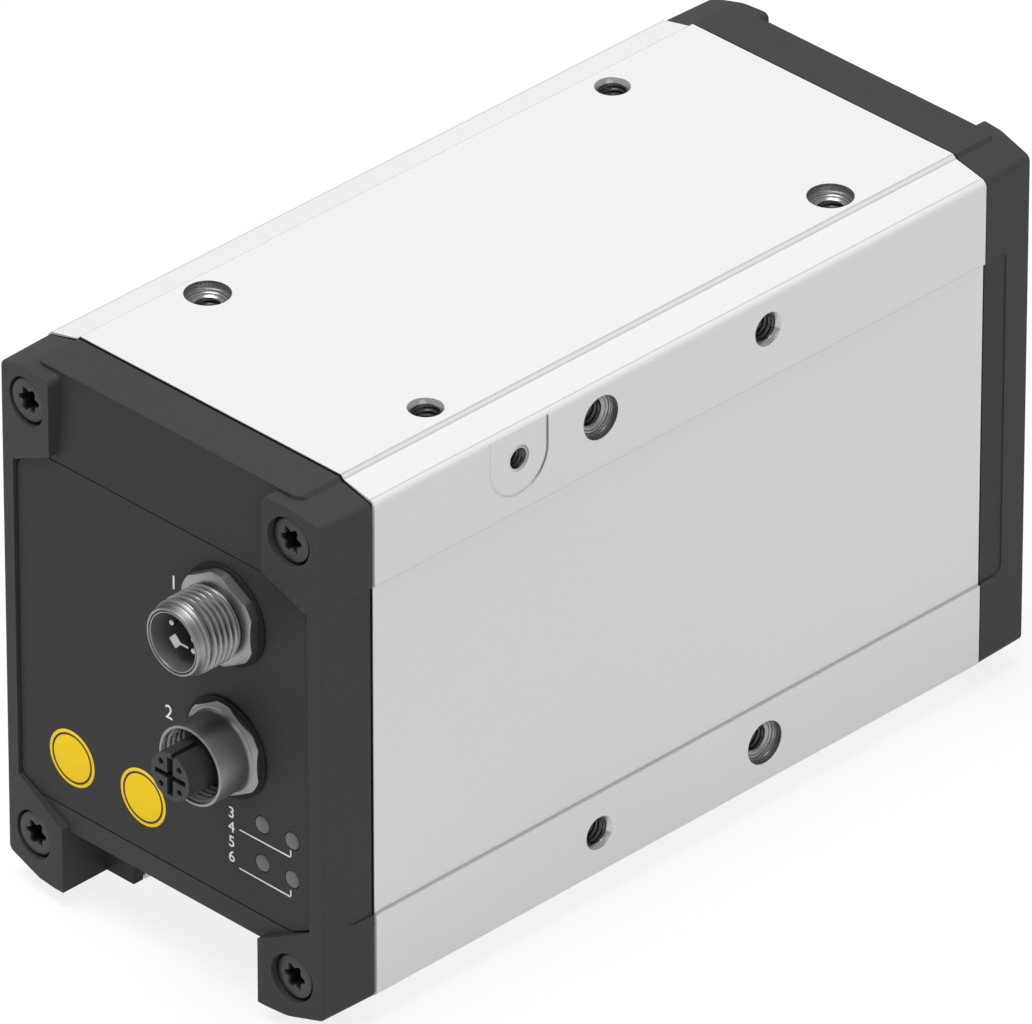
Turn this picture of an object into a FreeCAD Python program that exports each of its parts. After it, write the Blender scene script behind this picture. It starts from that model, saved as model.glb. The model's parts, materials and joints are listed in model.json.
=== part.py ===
import FreeCAD, Part
import math
import os

import Sketcher
from FreeCAD import Vector

# Electric parallel gripper seen from its robot side: an aluminium housing between two dark end caps,
# two base jaws that slide apart along Y underneath, and the motor, gear, rack and board drive inside.
# Millimetres. The origin is the centre of the top mounting face, +Z up, -Y the connector end.

doc = FreeCAD.newDocument("parallel_gripper")

# Driving dimensions

sheet = doc.addObject("Spreadsheet::Sheet", "Sizes")

WIDTH = 66.0
LENGTH = 124.0
HEIGHT = 86.4

SIZES = [
    ("housing_half_width", WIDTH / 2, "side faces"),
    ("housing_half_length", LENGTH / 2, "housing without caps"),
    ("total_height", HEIGHT, "top face to foot"),
    ("plateau_half_width", WIDTH / 2 - 6.7, "raised top and bottom faces"),
    ("edge_step", 0.6, "45 degree step beside the plateau"),
    ("shoulder_drop", 1.95, "top face to the side corner"),
    ("side_edge_radius", 1.2, "shoulder to side"),
    ("band_height", 15.8, "proud bands at top and bottom of the side"),
    ("side_recess", 0.4, "depth of the side between the bands"),
    ("cavity_half_width", WIDTH / 2 - 5, "drive room"),
    ("cavity_top", 10.0, "roof thickness"),
    ("cavity_shoulder_half_width", WIDTH / 2 - 14, "drive room at its roof"),
    ("cavity_shoulder_depth", 21.0, "where the room has its full width"),
    ("floor_top", HEIGHT - 28.9, "upper face of the floor web"),
    ("floor_thickness", 6.5, "floor web over the jaw channel"),
    ("gasket_thickness", 0.4, "between housing and cap"),
    ("gasket_width", 2.4, "rubber ring"),
    ("gasket_inset", 0.15, "ring behind the outer face"),
    ("cap_depth", 10.65, "both caps"),
    ("cap_inset", 0.2, "cap outline inside the housing outline"),
    ("cap_side_draft", 0.5, "side faces run in towards the corner"),
    ("cap_face_tilt", 1.05, "boss and foot faces run back towards the corner"),
    ("cap_corner_radius", 0.4, "upright corners of the caps"),
    ("cap_face_recess", 1.4, "bosses over the panel face"),
    ("cap_lean_recess", 1.2, "top edge behind the panel face"),
    ("plateau_corner_radius", 2.0, "raised top face ahead of the bosses"),
    ("boss_top_radius", 1.0, "inner top edge of the upper bosses"),
    ("cap_side_pocket_front", 5.1, "side pocket length, front cap"),
    ("cap_side_pocket_rear", 4.5, "side pocket length, rear cap"),
    ("cap_side_pocket_radius", 1.5, "side pocket corners"),
    ("cap_wall", 3.6, "wall behind the panel seat"),
    ("boss_inner", WIDTH / 2 - 11.5, "inner side of the upper screw bosses"),
    ("boss_bottom", 13.3, "lower inner corner of the upper bosses"),
    ("corner_slope", 0.5, "rise of the slanted boss edges"),
    ("foot_inner", WIDTH / 2 - 13, "inner side of the feet"),
    ("foot_top", HEIGHT - 10.95, "upper inner corner of the feet"),
    ("panel_half_width", WIDTH / 2 - 3.2, "connector panel seat"),
    ("panel_top", 14.5, "panel upper edge"),
    ("panel_bottom", HEIGHT - 13.9, "panel lower edge"),
    ("panel_thickness", 1.5, "panel plate"),
    ("panel_gap", 0.2, "groove round the panel"),
    ("panel_corner_radius", 2.0, "panel corners"),
    ("channel_top", HEIGHT - 10.2, "roof of the jaw channel in the caps"),
    ("wiper_half_width", 14.45, "narrow mouth of the channel"),
    ("wiper_depth", 1.9, "length of the narrow mouth"),
    ("cap_screw_x", WIDTH / 2 - 6.5, "cap screws from the middle"),
    ("cap_screw_top", 6.4, "upper cap screws"),
    ("cap_screw_rise", HEIGHT - 13.4, "upper to lower cap screws"),
    ("screw_radius", 2.0, "M4 shank"),
    ("screw_head_radius", 3.5, "M4 cylinder head"),
    ("screw_head_height", 4.0, "M4 cylinder head"),
    ("screw_head_sink", 0.95, "head below the boss face"),
    ("screw_grip", 11.0, "thread in the housing"),
    ("screw_seat_radius", 3.85, "counterbore for the head"),
    ("socket_radius", 1.95, "screw drive socket"),
    ("socket_depth", 2.0, "screw drive socket"),
    ("thread_clearance", 0.05, "radial, screw in its hole"),
    ("mount_hole_radius", 2.1, "M5 thread core"),
    ("mount_hole_depth", 9.0, "M5 threads"),
    ("mount_hole_chamfer", 0.65, "lead-in of the M5 threads"),
    ("centring_radius", 3.5, "centring sleeve bore"),
    ("centring_depth", 2.0, "centring sleeve bore"),
    ("top_mount_x", WIDTH / 2 - 11, "top pattern, half"),
    ("top_mount_y", 41.0, "top pattern, half"),
    ("side_mount_y", 17.0, "side pattern, half"),
    ("side_mount_top", 7.4, "upper row of the side pattern"),
    ("side_mount_rise", HEIGHT - 16.4, "side pattern height"),
    ("earth_y", 33.4, "earth thread from the middle"),
    ("earth_depth", 7.1, "earth thread below the top"),
    ("earth_radius", 1.65, "M4 thread core"),
    ("earth_hole_depth", 8.0, "M4 thread"),
    ("earth_patch_radius", 5.75, "bright patch round the earth thread"),
    ("earth_patch_depth", 0.15, "bright patch"),
    ("connector_x", 12.9, "both connectors from the middle"),
    ("power_z", 24.8, "power inlet axis below the top"),
    ("com_z", 46.9, "network socket axis below the top"),
    ("flange_across", 14.0, "hexagon across flats"),
    ("flange_corner_radius", 7.45, "hexagon corners turned off"),
    ("power_flange", 2.3, "flange with its seal, power"),
    ("com_flange", 1.15, "flange with its seal, network"),
    ("seal_radius", 8.0, "sealing ring under the flange"),
    ("seal_thickness", 0.5, "sealing ring under the flange"),
    ("power_length", 10.65, "power shell over the panel"),
    ("power_thread_radius", 5.92, "M12 crest"),
    ("power_rim_radius", 5.28, "turned-down nose"),
    ("power_nose", 2.5, "nose before the thread"),
    ("power_shell_bore", 4.85, "room for the contact carrier"),
    ("power_bore_radius", 4.45, "cup of the contact carrier"),
    ("power_bore_depth", 7.5, "cup of the contact carrier"),
    ("power_carrier_floor", 0.8, "carrier behind its cup"),
    ("power_carrier_sink", 0.1, "carrier behind the rim"),
    ("earth_contact_x", -0.9, "earth contact from the axis"),
    ("earth_contact_z", -0.8, "earth contact from the axis"),
    ("earth_contact_half", 1.27, "earth contact, half diagonal"),
    ("earth_tail_end", 1.7, "end of the earth contact's tail"),
    ("earth_tail_half", 0.18, "half thickness of the tail"),
    ("com_length", 7.5, "network sleeve over the panel"),
    ("com_radius", 6.27, "network sleeve"),
    ("com_bore_radius", 5.5, "M12 core in the sleeve"),
    ("com_insert_radius", 3.85, "contact block"),
    ("com_insert_proud", 3.85, "contact block past the sleeve"),
    ("com_slot_reach", 3.1, "cross slot in the contact block"),
    ("com_slot_half", 0.35, "half width of the cross slot"),
    ("com_slot_depth", 1.5, "cross slot"),
    ("com_key_x", 0.6, "key groove from the axis"),
    ("com_key_half", 0.4, "half width of the key groove"),
    ("com_key_floor", 3.2, "key groove floor from the axis"),
    ("com_key_length", 5.0, "key groove"),
    ("connector_root_radius", 5.4, "barrel through the cap wall"),
    ("pin_radius", 0.5, "contact pins"),
    ("pin_pitch", 1.85, "contact pins, half"),
    ("pin_drop", 1.5, "pin tips behind the rim"),
    ("light_radius", 1.35, "status windows"),
    ("light_x", WIDTH / 2 - 13.2, "first column of windows"),
    ("light_top", 57.0, "upper row of windows"),
    ("light_pitch_x", 6.0, "windows"),
    ("light_pitch_z", 6.45, "windows"),
    ("interface_board_seat", 2.0, "board front behind the cap's open side"),
    ("interface_board_half_width", WIDTH / 2 - 6, "board in the front cap"),
    ("interface_board_top", 17.0, "board in the front cap"),
    ("interface_board_bottom", HEIGHT - 18.4, "board in the front cap"),
    ("interface_post_x", WIDTH / 2 - 9, "upper board posts in the front cap"),
    ("interface_post_low_x", WIDTH / 2 - 19, "lower board posts in the front cap"),
    ("interface_post_margin", 3.0, "board posts from the board ends"),
    ("board_thickness", 1.6, "circuit boards"),
    ("guide_clearance", 0.15, "jaw in its rails"),
    ("rail_tongue", 2.9, "rail into the jaw groove"),
    ("rail_tongue_top", HEIGHT - 6.2, "tongue upper face"),
    ("rail_tongue_height", 2.8, "tongue"),
    ("rail_seat_gap", 0.1, "rail beside the channel wall"),
    ("jaw_top", HEIGHT - 9.95, "upper face of the base jaws"),
    ("jaw_proud", 2.4, "jaws below the feet"),
    ("jaw_length", LENGTH / 2 - 8.5, "base jaw"),
    ("jaw_half_gap", 1.5, "closed jaws, half"),
    ("jaw_stroke", 36.0, "travel of each jaw"),
    ("finger_hole_radius", 2.1, "M5 thread core in the jaws"),
    ("finger_hole_depth", 9.0, "threads in the jaws"),
    ("finger_hole_first", 14.75, "first hole from the inner end"),
    ("finger_hole_pitch", 24.0, "finger threads"),
    ("dowel_radius", 2.0, "dowel holes in the jaws"),
    ("dowel_side", 8.0, "dowel holes from the middle"),
    ("module_rack", 1.0, "rack and pinion"),
    ("pinion_teeth", 16.0, "rack pinion"),
    ("module_drive", 0.8, "spur stage"),
    ("gear_teeth", 45.0, "spur wheel"),
    ("motor_teeth", 15.0, "motor pinion"),
    ("backlash", 0.12, "thinning of each tooth"),
    ("rack_height", 8.6, "rack bars"),
    ("rack_bottom", HEIGHT - 12.5, "rack bar lower face below the top"),
    ("rack_back", 14.1, "outer face of the rack bars"),
    ("rack_overlap", 23.5, "rack bar on its own jaw"),
    ("rack_reach", 41.0, "rack bar past the middle"),
    ("strip_half_width", 9.0, "strip under the pinion"),
    ("strip_thickness", 1.6, "strip under the pinion"),
    ("strip_gap", 0.3, "strip under the rack bars"),
    ("strip_seat", 2.5, "strip end in each cap"),
    ("cap_room_top", 4.0, "roof of the cap's hollow"),
    ("cap_room_half_width", WIDTH / 2 - 4.2, "cap's hollow"),
    ("cap_room_shoulder", 14.0, "where the hollow has its full width"),
    ("cap_room_bottom", HEIGHT - 15.9, "floor of the cap's hollow"),
    ("assembly_gap", 0.1, "parts that slip into each other"),
    ("shaft_radius", 4.0, "pinion shaft"),
    ("stub_radius", 2.5, "pinion shaft lower end"),
    ("running_clearance", 0.05, "radial, shafts and rings"),
    ("gear_width", 6.0, "spur wheel"),
    ("gear_gap", 1.0, "spur wheel over the floor"),
    ("bearing_radius", 9.5, "ball bearings"),
    ("bearing_width", 5.0, "ball bearings"),
    ("bearing_ring", 1.9, "ring thickness"),
    ("plate_thickness", 5.5, "drive plate"),
    ("plate_gap", 1.6, "drive plate over the spur wheel"),
    ("plate_half_width", WIDTH / 2 - 8, "drive plate"),
    ("plate_front", 24.0, "drive plate past the shaft"),
    ("plate_rear", 48.0, "drive plate behind the shaft"),
    ("post_radius", 3.0, "drive plate posts"),
    ("motor_radius", WIDTH / 2 - 13, "motor can"),
    ("motor_height", HEIGHT - 57.4, "motor can"),
    ("motor_wall", 1.6, "motor can"),
    ("stator_inner", 13.0, "stator bore"),
    ("rotor_radius", 12.4, "rotor"),
    ("rotor_height", HEIGHT - 68.4, "rotor"),
    ("motor_shaft_radius", 2.5, "motor shaft"),
    ("board_half_width", WIDTH / 2 - 11, "control board"),
    ("board_front", 52.0, "control board from the middle"),
    ("board_rear", 2.0, "control board from the middle"),
    ("board_rise", 12.0, "control board over the drive plate"),
]

sheet.set("A1", "size")
sheet.set("B1", "mm")
sheet.set("C1", "what it sets")
for row, (alias, value, note) in enumerate(SIZES, start=2):
    sheet.set("A%d" % row, alias)
    sheet.set("B%d" % row, str(value))
    sheet.set("C%d" % row, note)
    sheet.setAlias("B%d" % row, alias)
doc.recompute()


def size(expression):
    """Value of an expression in the sheet's aliases, written as $alias."""
    return float(sheet.evalExpression(sheet_names(expression)))


def sheet_names(expression):
    return str(expression).replace("$", "Sizes.")


def bind(target, prop, expression):
    """Bind a property to the sheet."""
    target.setExpression(prop, sheet_names(expression))


# Sketch helpers

def new_body(label):
    body = doc.addObject("PartDesign::Body", label)
    body.Label = label
    return body


def new_sketch(body, name, plane, offset="0"):
    """Sketch on one of the body's origin planes, moved along that plane's normal."""
    sketch = body.newObject("Sketcher::SketchObject", name)
    origin_plane = [item for item in body.Origin.OriginFeatures if item.Role == plane][0]
    sketch.AttachmentSupport = [(origin_plane, "")]
    sketch.MapMode = "FlatFace"
    bind(sketch, "AttachmentOffset.Base.z", offset)
    return sketch


def pin_point(sketch, geometry, position, x_expression, y_expression):
    """Tie one point to the sketch origin with two bound distances."""
    for kind, axis, expression in (("DistanceX", -2, x_expression), ("DistanceY", -1, y_expression)):
        value = size(expression)
        if abs(value) < 1e-9:
            sketch.addConstraint(Sketcher.Constraint("PointOnObject", geometry, position, axis))
        else:
            rule = Sketcher.Constraint(kind, -1, 1, geometry, position, value)
            index = sketch.addConstraint(rule)
            bind(sketch, "Constraints[%d]" % index, expression)


def add_polygon(sketch, corners):
    """Closed outline whose corners are pairs of expressions."""
    points = [Vector(size(x), size(y), 0) for x, y in corners]
    first = sketch.GeometryCount
    count = len(points)
    for index in range(count):
        sketch.addGeometry(Part.LineSegment(points[index], points[(index + 1) % count]), False)
    for index in range(count):
        following = first + (index + 1) % count
        sketch.addConstraint(Sketcher.Constraint("Coincident", first + index, 2, following, 1))
    for index, (x, y) in enumerate(corners):
        pin_point(sketch, first + index, 1, x, y)


def add_circle(sketch, x, y, radius):
    centre = Vector(size(x), size(y), 0)
    index = sketch.addGeometry(Part.Circle(centre, Vector(0, 0, 1), size(radius)), False)
    pin_point(sketch, index, 3, x, y)
    rule = sketch.addConstraint(Sketcher.Constraint("Radius", index, size(radius)))
    bind(sketch, "Constraints[%d]" % rule, radius)


def both_sides(half):
    """Right half of an outline, top to bottom, closed with its mirror image."""
    mirrored = [("-(%s)" % x, y) for x, y in reversed(half)]
    return half + mirrored


def pad(body, name, sketch, length, backwards=False):
    feature = body.newObject("PartDesign::Pad", name)
    feature.Profile = sketch
    bind(feature, "Length", length)
    feature.Reversed = backwards
    doc.recompute()
    return feature


def pocket(body, name, sketch, length, backwards=False):
    """Cut along the sketch normal when backwards is set, against it otherwise."""
    before = body.Shape.Volume
    feature = body.newObject("PartDesign::Pocket", name)
    feature.Profile = sketch
    bind(feature, "Length", length)
    feature.Reversed = backwards
    doc.recompute()
    if body.Shape.Volume > before - 1e-6:
        raise RuntimeError("%s cuts nothing" % name)
    return feature


def revolve(body, name, sketch, axis_role):
    feature = body.newObject("PartDesign::Revolution", name)
    feature.Profile = sketch
    feature.ReferenceAxis = (sketch, [axis_role])
    feature.Angle = 360
    doc.recompute()
    return feature


def round_edges(body, name, radius, chooser, kind="PartDesign::Fillet"):
    """Fillet or chamfer the edges that the chooser picks from the body's tip."""
    base = body.Tip
    names = []
    for number, edge in enumerate(base.Shape.Edges, start=1):
        if chooser(edge):
            names.append("Edge%d" % number)
    if not names:
        raise RuntimeError("%s finds no edge" % name)
    feature = body.newObject(kind, name)
    feature.Base = (base, names)
    bind(feature, "Radius" if kind.endswith("Fillet") else "Size", radius)
    doc.recompute()
    if "Invalid" in feature.State or "Error" in feature.State:
        raise RuntimeError("%s fails" % name)
    return feature


def near(value, target):
    return abs(value - target) < 0.01


def straight_along(edge, direction):
    if edge.Curve.TypeId != "Part::GeomLine":
        return False
    return abs(abs(edge.tangentAt(edge.FirstParameter).dot(direction)) - 1) < 1e-6


# Shared outlines

def housing_outline(inset="0"):
    """Section of housing and caps: plateaus, steps, sloped shoulders and upright sides."""
    side = "$housing_half_width - (%s)" % inset
    flat = "$plateau_half_width"
    step = "$edge_step"
    return both_sides([
        (flat, "-(%s)" % inset),
        ("%s + %s" % (flat, step), "-%s - (%s)" % (step, inset)),
        (side, "-$shoulder_drop - (%s)" % inset),
        (side, "-$total_height + $shoulder_drop + (%s)" % inset),
        ("%s + %s" % (flat, step), "-$total_height + %s + (%s)" % (step, inset)),
        (flat, "-$total_height + (%s)" % inset),
    ])


CAP_SCREWS = [
    ("-$cap_screw_x", "-$cap_screw_top"),
    ("$cap_screw_x", "-$cap_screw_top"),
    ("-$cap_screw_x", "-$cap_screw_top - $cap_screw_rise"),
    ("$cap_screw_x", "-$cap_screw_top - $cap_screw_rise"),
]
CAP_FACE = "$housing_half_length + $gasket_thickness"
END_FACE = CAP_FACE + " + $cap_depth"
PANEL_FACE = END_FACE + " - $cap_face_recess"


# Part helpers

def rod(label, radius, length, x="0", y="0", z="0", axis="z"):
    """Cylinder that starts at the point and runs along +Z, +Y or +X."""
    item = doc.addObject("Part::Cylinder", label)
    turns = {"z": (Vector(0, 0, 1), 0), "y": (Vector(1, 0, 0), -90), "x": (Vector(0, 1, 0), 90)}
    item.Placement = FreeCAD.Placement(Vector(), FreeCAD.Rotation(*turns[axis]))
    bind(item, "Radius", radius)
    bind(item, "Height", length)
    place(item, x, y, z)
    return item


def block(label, width, depth, height, x="0", y="0", z="0"):
    """Box centred on X that starts at y and z."""
    item = doc.addObject("Part::Box", label)
    bind(item, "Length", width)
    bind(item, "Width", depth)
    bind(item, "Height", height)
    place(item, "(%s) - 0.5 * (%s)" % (x, width), y, z)
    return item


def place(item, x, y, z):
    bind(item, "Placement.Base.x", x)
    bind(item, "Placement.Base.y", y)
    bind(item, "Placement.Base.z", z)


def fuse(label, shapes):
    item = doc.addObject("Part::MultiFuse", label)
    item.Shapes = shapes
    return item


def cut(label, base, tools):
    item = doc.addObject("Part::Cut", label)
    item.Base = base
    item.Tool = tools[0] if len(tools) == 1 else fuse(label + "_tools", tools)
    return item


def ring(label, outer, inner, length, x="0", y="0", z="0", axis="z"):
    whole = rod(label + "_outer", outer, length, x, y, z, axis)
    hole = rod(label + "_bore", inner, length, x, y, z, axis)
    return cut(label, whole, [hole])


# Housing

def drill(body, name, plane, offset, centres, radius, depth, backwards=False):
    """Blind round holes cut from one sketch."""
    sketch = new_sketch(body, name + "_centres", plane, offset)
    for x, y in centres:
        add_circle(sketch, x, y, radius)
    return pocket(body, name, sketch, depth, backwards)


def make_housing():
    body = new_body("housing")
    full_length = "2 * $housing_half_length"
    profile = new_sketch(body, "housing_profile", "XZ_Plane", "$housing_half_length")
    add_polygon(profile, housing_outline())
    pad(body, "housing_block", profile, full_length, backwards=True)

    side_x = size("$housing_half_width")

    def shoulder_edge(edge):
        return straight_along(edge, Vector(0, 1, 0)) and near(abs(edge.CenterOfMass.x), side_x)

    round_edges(body, "housing_side_rounds", "$side_edge_radius", shoulder_edge)

    bands = new_sketch(body, "housing_band_outline", "XZ_Plane", "$housing_half_length")
    for sign in ("", "-"):
        inner = "%s($housing_half_width - $side_recess)" % sign
        outer = "%s($housing_half_width + 1)" % sign
        upper = "-$band_height"
        lower = "-$total_height + $band_height"
        add_polygon(bands, [(inner, upper), (outer, upper), (outer, lower), (inner, lower)])
    pocket(body, "housing_side_bands", bands, full_length)

    room = new_sketch(body, "housing_room_outline", "XZ_Plane", "$housing_half_length")
    add_polygon(room, both_sides([
        ("$cavity_shoulder_half_width", "-$cavity_top"),
        ("$cavity_half_width", "-$cavity_shoulder_depth"),
        ("$cavity_half_width", "-$floor_top"),
    ]))
    pocket(body, "housing_drive_room", room, full_length)

    channel = new_sketch(body, "housing_channel_outline", "XZ_Plane", "$housing_half_length")
    add_polygon(channel, both_sides([
        ("$foot_inner", "-$floor_top - $floor_thickness"),
        ("$foot_inner", "-$total_height - 1"),
    ]))
    pocket(body, "housing_jaw_channel", channel, full_length)

    drill(body, "housing_bearing_bore", "XY_Plane", "-$floor_top", [("0", "0")],
          "$bearing_radius", "$bearing_width")
    drill(body, "housing_shaft_hole", "XY_Plane", "-$floor_top", [("0", "0")],
          "$bearing_radius - $bearing_ring", "$floor_thickness + 1")

    corners = [("%s$top_mount_x" % a, "%s$top_mount_y" % b) for a in ("", "-") for b in ("", "-")]
    drill(body, "top_threads", "XY_Plane", "0", corners, "$mount_hole_radius", "$mount_hole_depth")
    drill(body, "top_centring", "XY_Plane", "0", [corners[0], corners[3]],
          "$centring_radius", "$centring_depth")

    rows = ("-$side_mount_top", "-$side_mount_top - $side_mount_rise")
    for side, backwards in (("", False), ("-", True)):
        name = "left" if side else "right"
        plane_place = "%s$housing_half_width" % side
        holes = [("%s$side_mount_y" % sign, row) for row in rows for sign in ("", "-")]
        centring = [holes[1], holes[2]]
        drill(body, name + "_side_threads", "YZ_Plane", plane_place, holes,
              "$mount_hole_radius", "$mount_hole_depth", backwards)
        drill(body, name + "_side_centring", "YZ_Plane", plane_place, centring,
              "$centring_radius", "$centring_depth", backwards)

    patch = new_sketch(body, "earth_patch_outline", "YZ_Plane", "$housing_half_width")
    add_arch(patch, "-$earth_y", "-$earth_depth", "$earth_patch_radius", "0")
    pocket(body, "earth_patch", patch, "$earth_patch_depth")
    drill(body, "earth_thread", "YZ_Plane", "$housing_half_width", [("-$earth_y", "-$earth_depth")],
          "$earth_radius", "$earth_hole_depth")

    mouth_radius = size("$mount_hole_radius")

    def thread_mouth(edge):
        if edge.Curve.TypeId != "Part::GeomCircle" or not near(edge.Curve.Radius, mouth_radius):
            return False
        return near(edge.Curve.Center.z, 0) or near(abs(edge.Curve.Center.x), side_x)

    round_edges(body, "thread_mouths", "$mount_hole_chamfer", thread_mouth, "PartDesign::Chamfer")

    for sign, backwards in (("", False), ("-", True)):
        name = "rear" if sign else "front"
        drill(body, name + "_cap_threads", "XZ_Plane", "%s$housing_half_length" % sign, CAP_SCREWS,
              "$screw_radius + $thread_clearance", "$screw_grip + 1", backwards)
    return body


def add_arch(sketch, x, y, radius, top):
    """Outline open to the top face: two upright sides joined by a half circle below."""
    cx, cy, r, high = size(x), size(y), size(radius), size(top)
    first = sketch.GeometryCount
    bow = Part.ArcOfCircle(Part.Circle(Vector(cx, cy, 0), Vector(0, 0, 1), r), math.pi, 2 * math.pi)
    sketch.addGeometry(bow, False)
    sketch.addGeometry(Part.LineSegment(Vector(cx + r, cy, 0), Vector(cx + r, high, 0)), False)
    sketch.addGeometry(Part.LineSegment(Vector(cx + r, high, 0), Vector(cx - r, high, 0)), False)
    sketch.addGeometry(Part.LineSegment(Vector(cx - r, high, 0), Vector(cx - r, cy, 0)), False)
    sketch.addConstraint(Sketcher.Constraint("Coincident", first + 1, 2, first + 2, 1))
    sketch.addConstraint(Sketcher.Constraint("Coincident", first + 2, 2, first + 3, 1))
    sketch.addConstraint(Sketcher.Constraint("Tangent", first, 2, first + 1, 1))
    sketch.addConstraint(Sketcher.Constraint("Tangent", first + 3, 2, first, 1))
    sketch.addConstraint(Sketcher.Constraint("Vertical", first + 1))
    sketch.addConstraint(Sketcher.Constraint("Vertical", first + 3))
    rule = sketch.addConstraint(Sketcher.Constraint("Radius", first, r))
    bind(sketch, "Constraints[%d]" % rule, radius)
    pin_point(sketch, first, 3, x, y)
    sketch.addConstraint(Sketcher.Constraint("PointOnObject", first + 2, 1, -1))


def add_corner(sketch, x, y, radius, side_x, side_y):
    """Waste outside a quarter circle about the point, towards side_x and side_y."""
    cx, cy, r = size(x), size(y), size(radius)
    far = 1.5 * r
    quarter = {(1, 1): 0, (-1, 1): 1, (-1, -1): 2, (1, -1): 3}[side_x, side_y]
    start, end = quarter * math.pi / 2, (quarter + 1) * math.pi / 2
    circle = Part.Circle(Vector(cx, cy, 0), Vector(0, 0, 1), r)
    on_x = 1 if side_x * side_y > 0 else 2
    beside = Vector(cx + side_x * r, cy, 0)
    ahead = Vector(cx, cy + side_y * r, 0)
    outer = [beside, Vector(cx + side_x * far, cy, 0),
             Vector(cx + side_x * far, cy + side_y * far, 0), Vector(cx, cy + side_y * far, 0), ahead]
    arc = sketch.addGeometry(Part.ArcOfCircle(circle, start, end), False)
    for index in range(4):
        sketch.addGeometry(Part.LineSegment(outer[index], outer[index + 1]), False)
    sketch.addConstraint(Sketcher.Constraint("Coincident", arc, on_x, arc + 1, 1))
    for index in range(1, 4):
        sketch.addConstraint(Sketcher.Constraint("Coincident", arc + index, 2, arc + index + 1, 1))
    sketch.addConstraint(Sketcher.Constraint("Coincident", arc + 4, 2, arc, 3 - on_x))
    for index, kind in enumerate(("Horizontal", "Vertical", "Horizontal", "Vertical"), start=1):
        sketch.addConstraint(Sketcher.Constraint(kind, arc + index))
    sketch.addConstraint(Sketcher.Constraint("Horizontal", arc, 3, arc, on_x))
    sketch.addConstraint(Sketcher.Constraint("Vertical", arc, 3, arc, 3 - on_x))
    pin_point(sketch, arc, 3, x, y)
    rule = sketch.addConstraint(Sketcher.Constraint("Radius", arc, r))
    bind(sketch, "Constraints[%d]" % rule, radius)
    for line in (arc + 2, arc + 3):
        rule = sketch.addConstraint(Sketcher.Constraint("Distance", line, far))
        bind(sketch, "Constraints[%d]" % rule, "1.5 * (%s)" % radius)


# End caps

def cap_outline():
    """Section of the caps: the housing's top, and feet that slope up to the side."""
    side = "$housing_half_width - $cap_inset"
    return both_sides([
        ("$plateau_half_width", "-$cap_inset"),
        ("$plateau_half_width + $edge_step", "-$edge_step - $cap_inset"),
        (side, "-$shoulder_drop - $cap_inset"),
        (side, "-$total_height + $shoulder_drop"),
        ("$plateau_half_width", "-$total_height + $cap_inset"),
    ])


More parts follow.
